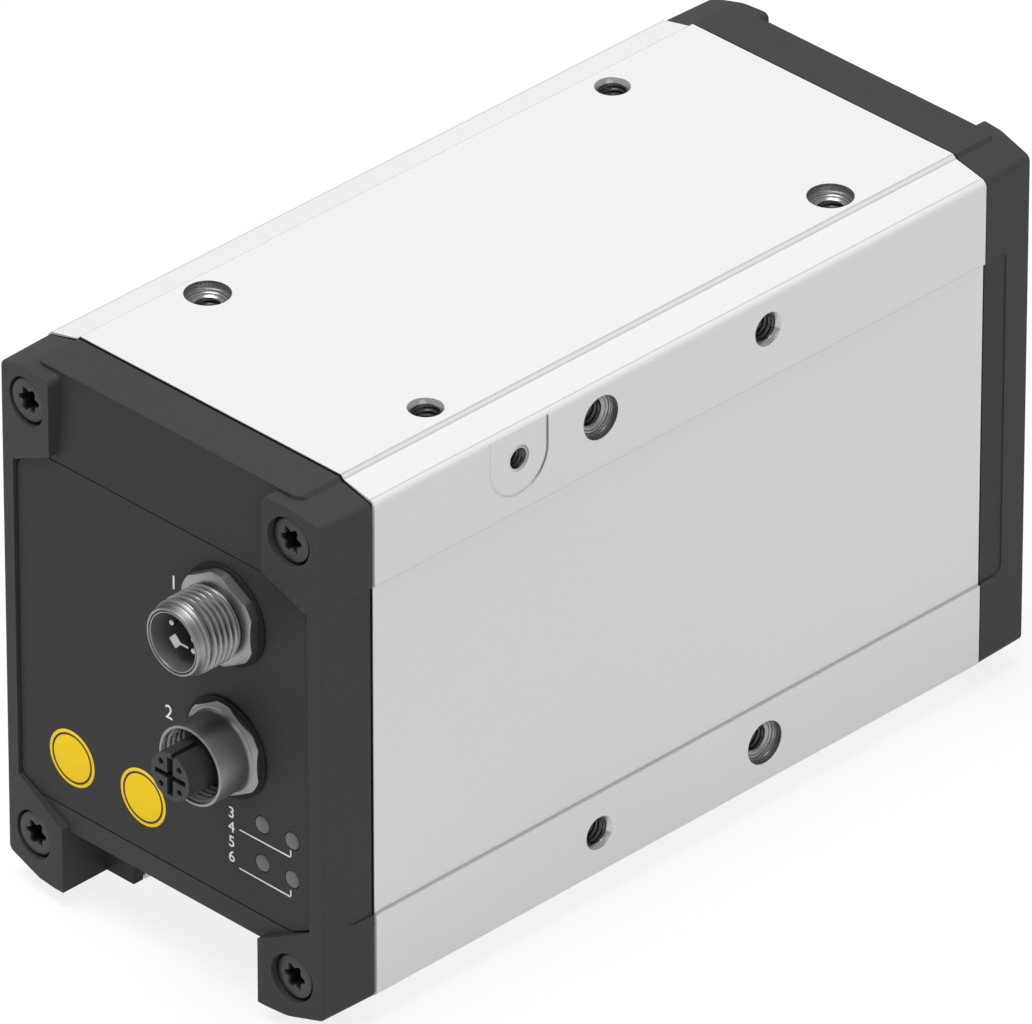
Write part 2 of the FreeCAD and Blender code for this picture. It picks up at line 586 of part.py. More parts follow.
def make_cap(label, sign, pocket_length, with_panel):
    """Cap on the housing's end; sign "" is the connector end at -Y, "-" the plain end."""
    outward = not bool(sign)
    body = new_body(label)

    def at(distance):
        return "%s(%s)" % (sign, distance)

    def along_y(distance):
        return "-%s(%s)" % (sign, distance)

    profile = new_sketch(body, label + "_profile", "XZ_Plane", at(CAP_FACE))
    add_polygon(profile, cap_outline())
    pad(body, label + "_block", profile, "$cap_depth", backwards=not outward)

    plan = new_sketch(body, label + "_plan_outline", "XY_Plane", "1")
    for side in ("", "-"):
        beside = "%s($housing_half_width + 1)" % side
        add_polygon(plan, [
            ("%s($housing_half_width - $cap_inset)" % side, along_y(CAP_FACE)),
            ("%s($housing_half_width - $cap_inset - $cap_side_draft)" % side,
             along_y(END_FACE + " - $cap_face_tilt")),
            ("%s$boss_inner" % side, along_y(END_FACE)),
            ("%s$boss_inner" % side, along_y(END_FACE + " + 1")),
            (beside, along_y(END_FACE + " + 1")),
            (beside, along_y(CAP_FACE)),
        ])
    pocket(body, label + "_plan", plan, "$total_height + 2")

    corner_x = size("$housing_half_width - $cap_inset - $cap_side_draft")

    def long_side_edge(edge):
        straight = edge.Curve.TypeId == "Part::GeomLine"
        return straight and abs(edge.CenterOfMass.x) > corner_x and abs(edge.CenterOfMass.y) < size(
            END_FACE + " - $cap_face_tilt") and abs(edge.tangentAt(edge.FirstParameter).y) > 0.9

    round_edges(body, label + "_side_rounds", "$side_edge_radius", long_side_edge)

    recessed = PANEL_FACE
    recess = new_sketch(body, label + "_recess_outline", "XZ_Plane", at(END_FACE))
    add_polygon(recess, both_sides([
        ("$boss_inner", "1"),
        ("$boss_inner", "-$boss_bottom"),
        ("$panel_half_width", "-$boss_bottom - $corner_slope * ($panel_half_width - $boss_inner)"),
        ("$panel_half_width", "-$foot_top + $corner_slope * ($panel_half_width - $foot_inner)"),
        ("$foot_inner", "-$foot_top"),
        ("$foot_inner", "-$total_height - 1"),
    ]))
    pocket(body, label + "_face_recess", recess, "$cap_face_recess", backwards=not outward)

    lean_top = recessed + " - $cap_lean_recess"
    lean = new_sketch(body, label + "_lean_outline", "YZ_Plane", "-$boss_inner")
    add_polygon(lean, [
        (along_y(recessed), "-$panel_top"),
        (along_y(recessed + " + 1"), "-$panel_top"),
        (along_y(recessed + " + 1"), "1"),
        (along_y(lean_top), "1"),
        (along_y(lean_top), "0"),
    ])
    pocket(body, label + "_lean", lean, "2 * $boss_inner", backwards=True)

    tops = new_sketch(body, label + "_boss_tops", "XY_Plane", "1")
    rounds = new_sketch(body, label + "_plateau_corners", "XY_Plane", "1")
    for side in (1, -1):
        inner = "%d * $boss_inner" % side
        outer = "%d * ($housing_half_width + 1)" % side
        add_polygon(tops, [
            (inner, along_y(lean_top)), (outer, along_y(lean_top)),
            (outer, along_y(END_FACE + " + 1")), (inner, along_y(END_FACE + " + 1")),
        ])
        centre_x = "%d * ($plateau_half_width + $edge_step - $plateau_corner_radius)" % side
        add_corner(rounds, centre_x, along_y(lean_top + " - $plateau_corner_radius"),
                   "$plateau_corner_radius", side, -1 if outward else 1)
    pocket(body, label + "_boss_level", tops, "1 + $edge_step + $cap_inset")
    pocket(body, label + "_plateau_rounds", rounds, "1 + $edge_step + $cap_inset")

    edges = new_sketch(body, label + "_boss_edges", "XZ_Plane", at(END_FACE))
    for side in (1, -1):
        add_corner(edges, "%d * ($boss_inner + $boss_top_radius)" % side,
                   "-$edge_step - $cap_inset - $boss_top_radius", "$boss_top_radius", -side, 1)
    pocket(body, label + "_boss_edge_rounds", edges, "$cap_face_recess + 0.85 * $cap_lean_recess",
           backwards=not outward)

    corner_y = size(END_FACE + " - $cap_face_tilt")

    def upright_corner(edge):
        middle = edge.CenterOfMass
        return straight_along(edge, Vector(0, 0, 1)) and near(abs(middle.x), corner_x) and near(
            abs(middle.y), corner_y)

    round_edges(body, label + "_corner_rounds", "$cap_corner_radius", upright_corner)

    pocket_end = size(CAP_FACE + " + " + pocket_length)
    for side, turned in (("", False), ("-", True)):
        inner = new_sketch(body, label + "_side_outline" + side.replace("-", "_left"),
                           "YZ_Plane", "%s($housing_half_width - $cap_inset)" % side)
        mouth = along_y(CAP_FACE + " - 1")
        end = along_y(CAP_FACE + " + " + pocket_length)
        add_polygon(inner, [
            (mouth, "-$band_height"), (end, "-$band_height"),
            (end, "-$total_height + $band_height"), (mouth, "-$total_height + $band_height"),
        ])
        pocket(body, label + "_side_pocket" + side.replace("-", "_left"), inner,
               "$side_recess", backwards=turned)

    def side_pocket_corner(edge):
        return straight_along(edge, Vector(1, 0, 0)) and near(abs(edge.CenterOfMass.y), pocket_end)

    round_edges(body, label + "_side_pocket_rounds", "$cap_side_pocket_radius", side_pocket_corner)

    channel = new_sketch(body, label + "_channel_outline", "XZ_Plane", at(END_FACE))
    add_polygon(channel, both_sides([
        ("$foot_inner", "-$channel_top"),
        ("$foot_inner", "-$total_height - 1"),
    ]))
    pocket(body, label + "_channel", channel, "$cap_depth - $wiper_depth", backwards=not outward)
    mouth = new_sketch(body, label + "_mouth_outline", "XZ_Plane", at(END_FACE))
    add_polygon(mouth, both_sides([
        ("$wiper_half_width", "-$channel_top"),
        ("$wiper_half_width", "-$total_height - 1"),
    ]))
    pocket(body, label + "_mouth", mouth, "$cap_depth + 1", backwards=not outward)

    wall = "$cap_face_recess + $cap_wall"
    if with_panel:
        wall = wall + " + $panel_thickness"
    room = new_sketch(body, label + "_room_outline", "XZ_Plane", at(CAP_FACE))
    add_polygon(room, both_sides([
        ("$cavity_shoulder_half_width", "-$cap_room_top"),
        ("$cap_room_half_width", "-$cap_room_shoulder"),
        ("$cap_room_half_width", "-$cap_room_bottom"),
    ]))
    pocket(body, label + "_room", room, "$cap_depth - (%s)" % wall, backwards=outward)

    notch = new_sketch(body, label + "_strip_outline", "XZ_Plane", at(CAP_FACE))
    add_polygon(notch, both_sides([
        ("$strip_half_width + $assembly_gap", "-$rack_bottom - $strip_gap + $assembly_gap"),
        ("$strip_half_width + $assembly_gap", "-$channel_top - 0.5"),
    ]))
    pocket(body, label + "_strip_seat", notch, "$strip_seat", backwards=outward)

    drill(body, label + "_screw_seats", "XZ_Plane", at(END_FACE), CAP_SCREWS, "$screw_seat_radius",
          "$screw_head_sink + $screw_head_height", backwards=not outward)
    drill(body, label + "_screw_holes", "XZ_Plane", at(END_FACE), CAP_SCREWS,
          "$screw_radius + $assembly_gap", "$cap_depth + 1", backwards=not outward)

    if with_panel:
        seat = new_sketch(body, label + "_panel_outline", "XZ_Plane", at(recessed))
        add_polygon(seat, panel_outline("0"))
        pocket(body, label + "_panel_seat", seat, "$panel_thickness")
        drill(body, label + "_connector_holes", "XZ_Plane", at(END_FACE), CONNECTOR_AXES,
              "$connector_root_radius + $assembly_gap", "$cap_depth")
        drill(body, label + "_light_holes", "XZ_Plane", at(END_FACE), LIGHT_AXES,
              "$light_radius + $assembly_gap", "$cap_depth")
        board_face = CAP_FACE + " + $interface_board_seat"
        posts = new_sketch(body, label + "_board_posts", "XZ_Plane", at(board_face))
        for x, z in BOARD_POSTS:
            add_circle(posts, x, z, "$post_radius")
        pad(body, label + "_posts", posts, "$cap_depth - (%s) - $interface_board_seat" % wall)
    return body


def panel_outline(gap):
    """Connector panel or its seat; the gap moves every side inwards."""
    lower = "-$foot_top + $corner_slope * ($panel_half_width - $foot_inner)"
    upper = "-$boss_bottom - $corner_slope * ($panel_half_width - $boss_inner)"
    upper_run = "($panel_top - $boss_bottom) / $corner_slope"
    lower_run = "($foot_top - $panel_bottom) / $corner_slope"
    return both_sides([
        ("$boss_inner + %s - (%s)" % (upper_run, gap), "-$panel_top - (%s)" % gap),
        ("$panel_half_width - (%s)" % gap, "%s - (%s)" % (upper, gap)),
        ("$panel_half_width - (%s)" % gap, "%s + (%s)" % (lower, gap)),
        ("$foot_inner + %s - (%s)" % (lower_run, gap), "-$panel_bottom + (%s)" % gap),
    ])


CONNECTOR_AXES = [("$connector_x", "-$power_z"), ("$connector_x", "-$com_z")]
LIGHT_AXES = [
    ("$light_x + %d * $light_pitch_x" % column, "-$light_top - %d * $light_pitch_z" % line)
    for line in range(2) for column in range(2)
]
BOARD_POSTS = [
    (side + reach, level)
    for side in ("", "-")
    for reach, level in (("$interface_post_x", "-$interface_board_top - $interface_post_margin"),
                         ("$interface_post_low_x", "-$interface_board_bottom + $interface_post_margin"))
]


def make_panel():
    body = new_body("connector_panel")
    sketch = new_sketch(body, "panel_outline", "XZ_Plane", PANEL_FACE)
    add_polygon(sketch, panel_outline("$panel_gap"))
    pad(body, "panel_plate", sketch, "$panel_thickness", backwards=True)
    side_x = size("$panel_half_width - $panel_gap")

    def side_corner(edge):
        return straight_along(edge, Vector(0, 1, 0)) and near(abs(edge.CenterOfMass.x), side_x)

    round_edges(body, "panel_corner_rounds", "$panel_corner_radius", side_corner)
    drill(body, "panel_connector_holes", "XZ_Plane", PANEL_FACE, CONNECTOR_AXES,
          "$connector_root_radius + $assembly_gap", "$panel_thickness + 1")
    drill(body, "panel_light_holes", "XZ_Plane", PANEL_FACE, LIGHT_AXES,
          "$light_radius + $assembly_gap", "$panel_thickness + 1")
    return body


def make_gasket(label, sign):
    body = new_body(label)
    outline = new_sketch(body, label + "_outline", "XZ_Plane", "%s$housing_half_length" % sign)
    add_polygon(outline, both_sides([
        ("$plateau_half_width", "-$gasket_inset"),
        ("$plateau_half_width + $edge_step", "-$edge_step - $gasket_inset"),
        ("$housing_half_width - $gasket_inset - $side_recess", "-$shoulder_drop - 2 * $gasket_inset"),
        ("$housing_half_width - $gasket_inset - $side_recess", "-$cap_room_bottom - $gasket_width"),
    ]))
    pad(body, label + "_plate", outline, "$gasket_thickness", backwards=bool(sign))
    opening = new_sketch(body, label + "_opening", "XZ_Plane", "%s$housing_half_length" % sign)
    add_polygon(opening, both_sides([
        ("$cavity_shoulder_half_width", "-$cap_room_top"),
        ("$cap_room_half_width", "-$cap_room_shoulder"),
        ("$cap_room_half_width", "-$cap_room_bottom"),
    ]))
    pocket(body, label + "_window", opening, "$gasket_thickness", backwards=not bool(sign))
    drill(body, label + "_screw_holes", "XZ_Plane", "%s$housing_half_length" % sign,
          CAP_SCREWS[:2], "$screw_radius + $assembly_gap", "$gasket_thickness",
          backwards=not bool(sign))
    return body


# Fasteners

def make_cap_screw(label, end, x, z):
    """M4 cylinder screw with a round drive socket, pointing into the housing."""
    body = new_body(label)
    sketch = new_sketch(body, label + "_section", "XY_Plane")
    shank = "-($cap_depth + $gasket_thickness - $screw_head_sink - $screw_head_height + $screw_grip)"
    add_polygon(sketch, [
        ("0", "-$socket_depth"),
        ("$socket_radius", "-$socket_depth"),
        ("$socket_radius", "0"),
        ("$screw_head_radius", "0"),
        ("$screw_head_radius", "-$screw_head_height"),
        ("$screw_radius", "-$screw_head_height"),
        ("$screw_radius", "%s - $screw_head_height" % shank),
        ("0", "%s - $screw_head_height" % shank),
    ])
    revolve(body, label + "_turned", sketch, "V_Axis")
    face = END_FACE + " - $screw_head_sink"
    turn = 180 if end == "front" else 0
    body.Placement = FreeCAD.Placement(Vector(), FreeCAD.Rotation(Vector(0, 0, 1), turn))
    place(body, x, "-(%s)" % face if end == "front" else face, z)
    return body


# Connectors on the panel

def connector_body(label, z):
    """Body whose local +Y is the plug direction, on the panel face at the connector's axis."""
    body = new_body(label)
    body.Placement = FreeCAD.Placement(Vector(), FreeCAD.Rotation(Vector(0, 0, 1), 180))
    place(body, "$connector_x", "-(%s)" % PANEL_FACE, "-(%s)" % z)
    return body


def hexagon_corners():
    """Hexagon with its corners turned off, one flat facing each side."""
    spread = "acos(0.5 * $flange_across / $flange_corner_radius)"
    corners = []
    for flat in range(6):
        for side in ("-", "+"):
            angle = "(%d deg %s %s)" % (60 * flat, side, spread)
            corners.append(("$flange_corner_radius * cos(%s)" % angle,
                            "$flange_corner_radius * sin(%s)" % angle))
    return corners


def root_length():
    """From the panel face back to the board in the cap."""
    return "($cap_depth - $cap_face_recess - $interface_board_seat)"


CARRIER_FLOOR = "$power_length - $power_bore_depth"
CARRIER_BACK = CARRIER_FLOOR + " - $power_carrier_floor"


def make_power_shell():
    body = connector_body("power_connector_shell", "$power_z")
    section = new_sketch(body, "power_section", "XY_Plane")
    add_polygon(section, [
        ("$power_shell_bore", "$power_length"),
        ("$power_shell_bore", CARRIER_BACK),
        ("0", CARRIER_BACK),
        ("0", "-%s" % root_length()),
        ("$connector_root_radius", "-%s" % root_length()),
        ("$connector_root_radius", "$seal_thickness"),
        ("$power_thread_radius", "$seal_thickness"),
        ("$power_thread_radius", "$power_length - $power_nose"),
        ("$power_rim_radius", "$power_length - $power_nose + ($power_thread_radius - $power_rim_radius)"),
        ("$power_rim_radius", "$power_length"),
    ])
    revolve(body, "power_turned", section, "V_Axis")
    flange = new_sketch(body, "power_hexagon", "XZ_Plane", "-$seal_thickness")
    add_polygon(flange, hexagon_corners())
    pad(body, "power_flange", flange, "$power_flange - $seal_thickness", backwards=True)
    return body


def make_com_sleeve():
    body = connector_body("com_connector_shell", "$com_z")
    section = new_sketch(body, "com_section", "XY_Plane")
    add_polygon(section, [
        ("$com_bore_radius", "$com_length"),
        ("$com_bore_radius", "$com_flange"),
        ("0", "$com_flange"),
        ("0", "-%s" % root_length()),
        ("$connector_root_radius", "-%s" % root_length()),
        ("$connector_root_radius", "$seal_thickness"),
        ("$com_radius", "$seal_thickness"),
        ("$com_radius", "$com_length"),
    ])
    revolve(body, "com_turned", section, "V_Axis")
    flange = new_sketch(body, "com_hexagon", "XZ_Plane", "-$seal_thickness")
    add_polygon(flange, hexagon_corners())
    pad(body, "com_flange", flange, "$com_flange - $seal_thickness", backwards=True)
    return body


def make_com_insert():
    body = connector_body("com_connector_insert", "$com_z")
    face = "$com_length + $com_insert_proud"
    circle = new_sketch(body, "com_insert_circle", "XZ_Plane", "-$com_flange")
    add_circle(circle, "0", "0", "$com_insert_radius")
    pad(body, "com_insert_block", circle, "%s - $com_flange" % face, backwards=True)
    drill(body, "com_insert_sockets", "XZ_Plane", "-(%s)" % face,
          [("%s$pin_pitch" % a, "%s$pin_pitch" % b) for a in ("", "-") for b in ("", "-")],
          "$pin_radius", "4", backwards=True)
    cross = new_sketch(body, "com_insert_cross", "XZ_Plane", "-(%s)" % face)
    near_side, far_side = "$com_slot_half", "$com_slot_reach"
    add_polygon(cross, [
        (near_side, far_side), (near_side, near_side), (far_side, near_side), (far_side, "-" + near_side),
        (near_side, "-" + near_side), (near_side, "-" + far_side), ("-" + near_side, "-" + far_side),
        ("-" + near_side, "-" + near_side), ("-" + far_side, "-" + near_side), ("-" + far_side, near_side),
        ("-" + near_side, near_side), ("-" + near_side, far_side),
    ])
    pocket(body, "com_insert_cross_slot", cross, "$com_slot_depth", backwards=True)
    key = new_sketch(body, "com_insert_key", "XZ_Plane", "-(%s)" % face)
    left, right = "-$com_key_x - $com_key_half", "-$com_key_x + $com_key_half"
    add_polygon(key, [
        (left, "$com_key_floor"), (right, "$com_key_floor"),
        (right, "$com_insert_radius + 1"), (left, "$com_insert_radius + 1"),
    ])
    pocket(body, "com_insert_key_groove", key, "$com_key_length", backwards=True)
    return body


def make_power_carrier():
    """Cup that holds the contacts, its rim just inside the rim of the shell."""
    body = connector_body("power_connector_insert", "$power_z")
    section = new_sketch(body, "carrier_section", "XY_Plane")
    add_polygon(section, [
        ("$power_bore_radius", "$power_length - $power_carrier_sink"),
        ("$power_bore_radius", CARRIER_FLOOR),
        ("0", CARRIER_FLOOR),
        ("0", CARRIER_BACK),
        ("$power_shell_bore - $assembly_gap", CARRIER_BACK),
        ("$power_shell_bore - $assembly_gap", "$power_length - $power_carrier_sink"),
    ])
    revolve(body, "carrier_turned", section, "V_Axis")
    return body


POWER_PINS = [
    ("0.95 * $pin_pitch", "$pin_pitch"),
    ("-1.43 * $pin_pitch", "-0.53 * $pin_pitch"),
    ("-1.43 * $pin_pitch", "0.53 * $pin_pitch"),
]


def make_power_contacts():
    """Round pins and the square earth contact with its tail, standing in the carrier's cup."""
    reach = "$power_bore_depth - $pin_drop"
    body = connector_body("power_connector_contacts", "$power_z")
    pins = new_sketch(body, "power_pin_circles", "XZ_Plane", "-(%s)" % CARRIER_FLOOR)
    for x, z in POWER_PINS:
        add_circle(pins, x, z, "$pin_radius")
    pad(body, "power_pins", pins, reach, backwards=True)
    tip = size("%s + %s" % (CARRIER_FLOOR, reach))

    def pin_tip(edge):
        return edge.Curve.TypeId == "Part::GeomCircle" and near(edge.CenterOfMass.y, tip)

    round_edges(body, "power_pin_tips", "0.45 * $pin_radius", pin_tip)
    earth = new_sketch(body, "power_earth_outline", "XZ_Plane", "-(%s)" % CARRIER_FLOOR)
    x, z, half, tail = "-$earth_contact_x", "$earth_contact_z", "$earth_contact_half", "$earth_tail_half"
    add_polygon(earth, [
        ("%s + %s" % (x, half), z),
        (x, "%s + %s" % (z, half)),
        ("%s - %s + %s" % (x, half, tail), "%s + %s" % (z, tail)),
        ("-$earth_tail_end", "%s + %s" % (z, tail)),
        ("-$earth_tail_end", "%s - %s" % (z, tail)),
        ("%s - %s + %s" % (x, half, tail), "%s - %s" % (z, tail)),
        (x, "%s - %s" % (z, half)),
    ])
    pad(body, "power_earth_contact", earth, reach, backwards=True)
    return body


def make_seal(label, z):
    outer = ring(label, "$seal_radius", "$connector_root_radius + $assembly_gap", "$seal_thickness",
                 "$connector_x", "-(%s) - $seal_thickness" % PANEL_FACE, "-(%s)" % z, "y")
    outer.Label = label
    return outer


def make_status_light(index, x, z):
    return rod("status_light_%d" % index, "$light_radius", root_length(),
               x, "-(%s)" % PANEL_FACE, z, "y")


def make_interface_board():
    body = new_body("interface_board")
    outline = new_sketch(body, "interface_outline", "XZ_Plane", CAP_FACE + " + $interface_board_seat")
    add_polygon(outline, both_sides([
        ("$interface_board_half_width", "-$interface_board_top"),
        ("$interface_board_half_width", "-$interface_board_bottom"),
    ]))
    pad(body, "interface_plate", outline, "$board_thickness", backwards=True)
    return body


# Jaws and their guides

RAIL_TOP = "-$floor_top - $floor_thickness - $rail_seat_gap"


def make_rail(label, sign):
    """Guide rail with a tongue along the jaw's side groove."""
    body = new_body(label)
    outline = new_sketch(body, label + "_section", "XZ_Plane", "$housing_half_length")
    tongue = "$wiper_half_width - $rail_tongue"
    corners = [
        ("$wiper_half_width", RAIL_TOP),
        ("$foot_inner - $rail_seat_gap", RAIL_TOP),
        ("$foot_inner - $rail_seat_gap", "-$total_height"),
        ("$wiper_half_width", "-$total_height"),
        ("$wiper_half_width", "-$rail_tongue_top - $rail_tongue_height"),
        (tongue, "-$rail_tongue_top - $rail_tongue_height"),
        (tongue, "-$rail_tongue_top"),
        ("$wiper_half_width", "-$rail_tongue_top"),
    ]
    add_polygon(outline, [("%s(%s)" % (sign, x), z) for x, z in corners])
    pad(body, label + "_bar", outline, "2 * $housing_half_length", backwards=True)
    return body


def make_jaw(label, sign):
    """Base jaw, grooved on both sides, with its finger threads; sign "-" is the front jaw."""
    body = new_body(label)
    forward = sign == "-"
    inner = "$jaw_half_gap"
    half = "$wiper_half_width - $guide_clearance"
    groove = "$wiper_half_width - $rail_tongue - $guide_clearance"
    upper = "-$rail_tongue_top + $guide_clearance"
    lower = "-$rail_tongue_top - $rail_tongue_height - $guide_clearance"
    section = new_sketch(body, label + "_section", "XZ_Plane", inner if forward else "-(%s)" % inner)
    add_polygon(section, both_sides([
        (half, "-$jaw_top"),
        (half, upper),
        (groove, upper),
        (groove, lower),
        (half, lower),
        (half, "-$total_height - $jaw_proud"),
    ]))
    pad(body, label + "_bar", section, "$jaw_length", backwards=not forward)

    rack_side = "" if forward else "-"
    block_sketch = new_sketch(body, label + "_pad_outline", "XY_Plane", "-$jaw_top")
    pad_near = "%s($module_rack * ($pinion_teeth / 2 + 1.25) + 0.4)" % rack_side
    pad_far = "%s$rack_back" % rack_side
    start = "%s(%s)" % (sign, inner)
    end = "%s(%s + $rack_overlap)" % (sign, inner)
    add_polygon(block_sketch, [(pad_near, start), (pad_far, start), (pad_far, end), (pad_near, end)])
    pad(body, label + "_rack_pad", block_sketch, "$jaw_top - $rack_bottom")

    bottom = "-$total_height - $jaw_proud"
    first = "%s(%s + $finger_hole_first)" % (sign, inner)
    second = "%s(%s + $finger_hole_first + $finger_hole_pitch)" % (sign, inner)
    drill(body, label + "_finger_threads", "XY_Plane", bottom, [("0", first), ("0", second)],
          "$finger_hole_radius", "$finger_hole_depth", backwards=True)
    middle = "%s(%s + $finger_hole_first + 0.5 * $finger_hole_pitch)" % (sign, inner)
    drill(body, label + "_dowel_holes", "XY_Plane", bottom,
          [("$dowel_side", middle), ("-$dowel_side", middle)],
          "$dowel_radius", "$finger_hole_depth - 3", backwards=True)
    return body


# Gears and racks

PRESSURE_ANGLE = math.radians(20)


def involute_point(base_radius, radius):
    """Angle swept by the involute of the base circle when it reaches the radius."""
    roll = math.sqrt(max((radius / base_radius) ** 2 - 1, 0))
    return roll - math.atan(roll)


def gear_wire(module, teeth, thinning, first_tooth):
    """Closed spur gear outline with one tooth centred on the first_tooth angle, in degrees."""
    pitch = module * teeth / 2
    base = pitch * math.cos(PRESSURE_ANGLE)
    root = pitch - 1.25 * module
    tip = pitch + module
    half_tooth = math.pi / 2 / teeth - thinning / 2 / pitch
    at_pitch = involute_point(base, pitch)
    flank = [max(base, root) + (tip - max(base, root)) * step / 3 for step in range(4)]
    points = []
    for tooth in range(teeth):
        centre = math.radians(first_tooth) + 2 * math.pi * tooth / teeth
        half_root = half_tooth + at_pitch
        side = [(root, half_root)] if root < base else []
        side += [(radius, half_tooth + at_pitch - involute_point(base, radius)) for radius in flank]
        points += [polar(radius, centre - half) for radius, half in side]
        points += [polar(radius, centre + half) for radius, half in reversed(side)]
    return Part.makePolygon(points + points[:1])


def polar(radius, angle):
    return Vector(radius * math.cos(angle), radius * math.sin(angle), 0)


def gear_solid(module, teeth, width, bore, first_tooth, thinning):
    blank = Part.Face(gear_wire(module, teeth, thinning, first_tooth)).extrude(Vector(0, 0, width))
    if bore > 0:
        blank = blank.cut(Part.makeCylinder(bore, width))
    return blank


def computed(label, shape, base):
    """Part::Feature with its own shape, set down at the base point."""
    item = doc.addObject("Part::Feature", label)
    item.Shape = shape
    item.Placement = FreeCAD.Placement(base, FreeCAD.Rotation())
    return item


def rack_solid(module, height, start, end, pitch_x, back_x, thinning):
    """Rack bar along +Y from start to end, teeth towards -X, a gap centred on Y = 0."""
    pitch = math.pi * module
    tip = pitch_x - module
    root = pitch_x + 1.25 * module
    slant = math.tan(PRESSURE_ANGLE)
    half_tooth = pitch / 4 - thinning / 2
    points = [Vector(back_x, end, 0), Vector(back_x, start, 0), Vector(root, start, 0)]
    number = math.floor(start / pitch)
    while number * pitch < end:
        centre = (number + 0.5) * pitch
        wide = half_tooth + (root - pitch_x) * slant
        narrow = half_tooth - module * slant
        if centre - wide > start and centre + wide < end:
            points += [Vector(root, centre - wide, 0), Vector(tip, centre - narrow, 0),
                       Vector(tip, centre + narrow, 0), Vector(root, centre + wide, 0)]
        number += 1
    points.append(Vector(root, end, 0))
    return Part.Face(Part.makePolygon(points + points[:1])).extrude(Vector(0, 0, height))


def make_rack(label, sign):
    """Rack bar screwed on its jaw's pad; the front jaw's bar runs on the +X side."""
    shape = rack_solid(size("$module_rack"), size("$rack_height"),
                       -size("$jaw_half_gap + $rack_overlap"), size("$rack_reach"),
                       size("$module_rack * $pinion_teeth / 2"), size("$rack_back"), size("$backlash"))
    item = computed(label, shape, Vector(0, 0, -size("$rack_bottom")))
    if sign != "-":
        item.Placement = FreeCAD.Placement(item.Placement.Base, FreeCAD.Rotation(Vector(0, 0, 1), 180))
    return item


# Drive

GEAR_BOTTOM = "-$floor_top + $gear_gap"
PLATE_BOTTOM = GEAR_BOTTOM + " + $gear_width + $plate_gap"
PLATE_TOP = PLATE_BOTTOM + " + $plate_thickness"
MOTOR_Y = "$module_drive * ($gear_teeth + $motor_teeth) / 2"


def make_pinion_shaft():
    """Shaft with the rack pinion cut on it and a stub in the strip below."""
    pinion_bottom = size("-$rack_bottom + $strip_gap")
    stub_bottom = size("-$rack_bottom - $strip_gap - $strip_thickness")
    pinion_top = size("-$floor_top - $floor_thickness") - 1
    stub_length = pinion_bottom - stub_bottom
    stub = Part.makeCylinder(size("$stub_radius"), stub_length)
    pinion = gear_solid(size("$module_rack"), round(size("$pinion_teeth")),
                        pinion_top - pinion_bottom, 0, 0, size("$backlash"))
    pinion.translate(Vector(0, 0, stub_length))
    shaft_length = size(PLATE_BOTTOM + " + $bearing_width - $assembly_gap") - pinion_bottom
    shaft = Part.makeCylinder(size("$shaft_radius"), shaft_length, Vector(0, 0, stub_length))
    shape = stub.fuse([pinion, shaft]).removeSplitter()
    return computed("pinion_shaft", shape, Vector(0, 0, stub_bottom))


def make_drive_gear():
    shape = gear_solid(size("$module_drive"), round(size("$gear_teeth")), size("$gear_width"),
                       size("$shaft_radius + $running_clearance"), 90, size("$backlash"))
    return computed("drive_gear", shape, Vector(0, 0, size(GEAR_BOTTOM)))


def make_motor_pinion():
    teeth = round(size("$motor_teeth"))
    shape = gear_solid(size("$module_drive"), teeth, size("$gear_width"),
                       size("$motor_shaft_radius + $running_clearance"), 270 + 180 / teeth,
                       size("$backlash"))
    return computed("motor_pinion", shape, Vector(0, size(MOTOR_Y), size(GEAR_BOTTOM)))


def make_bearing(label, bottom):
    """Outer ring in its seat and inner ring on the pinion shaft."""
    outer = ring(label + "_outer", "$bearing_radius - $running_clearance",
                 "$bearing_radius - $bearing_ring", "$bearing_width", z=bottom)
    inner = ring(label + "_inner", "$shaft_radius + $running_clearance + $bearing_ring",
                 "$shaft_radius + $running_clearance", "$bearing_width", z=bottom)
    return [outer, inner]


def make_strip():
    bottom = "-$rack_bottom - $strip_gap - $strip_thickness"
    length = "2 * (%s + $strip_seat - $assembly_gap)" % CAP_FACE
    bar = block("strip_bar", "2 * $strip_half_width", length, "$strip_thickness",
                "0", "-0.5 * (%s)" % length, bottom)
    hole = rod("strip_hole", "$stub_radius + $running_clearance", "$strip_thickness", z=bottom)
    return cut("channel_strip", bar, [hole])


def make_drive_plate():
    """Plate over the spur stage on four posts, with the upper bearing seat and the motor pilot."""
    body = new_body("drive_plate")
    outline = new_sketch(body, "plate_outline", "XY_Plane", PLATE_BOTTOM)
    add_polygon(outline, both_sides([
        ("$plate_half_width", "$plate_rear"),
        ("$plate_half_width", "-$plate_front"),
    ]))
    pad(body, "plate_slab", outline, "$plate_thickness")
    posts = new_sketch(body, "plate_post_circles", "XY_Plane", "-$floor_top")
    for x in ("", "-"):
        for y in ("$plate_rear - $post_radius - 1", "-$plate_front + $post_radius + 1"):
            add_circle(posts, "%s($plate_half_width - $post_radius - 1)" % x, y, "$post_radius")
    pad(body, "plate_posts", posts, "$gear_gap + $gear_width + $plate_gap")
    drill(body, "plate_bearing_seat", "XY_Plane", PLATE_BOTTOM, [("0", "0")],
          "$bearing_radius", "$bearing_width", backwards=True)
    drill(body, "plate_motor_pilot", "XY_Plane", PLATE_TOP, [("0", MOTOR_Y)],
          "$module_drive * ($motor_teeth / 2 + 1) + 0.6", "$plate_thickness + 1")
    return body


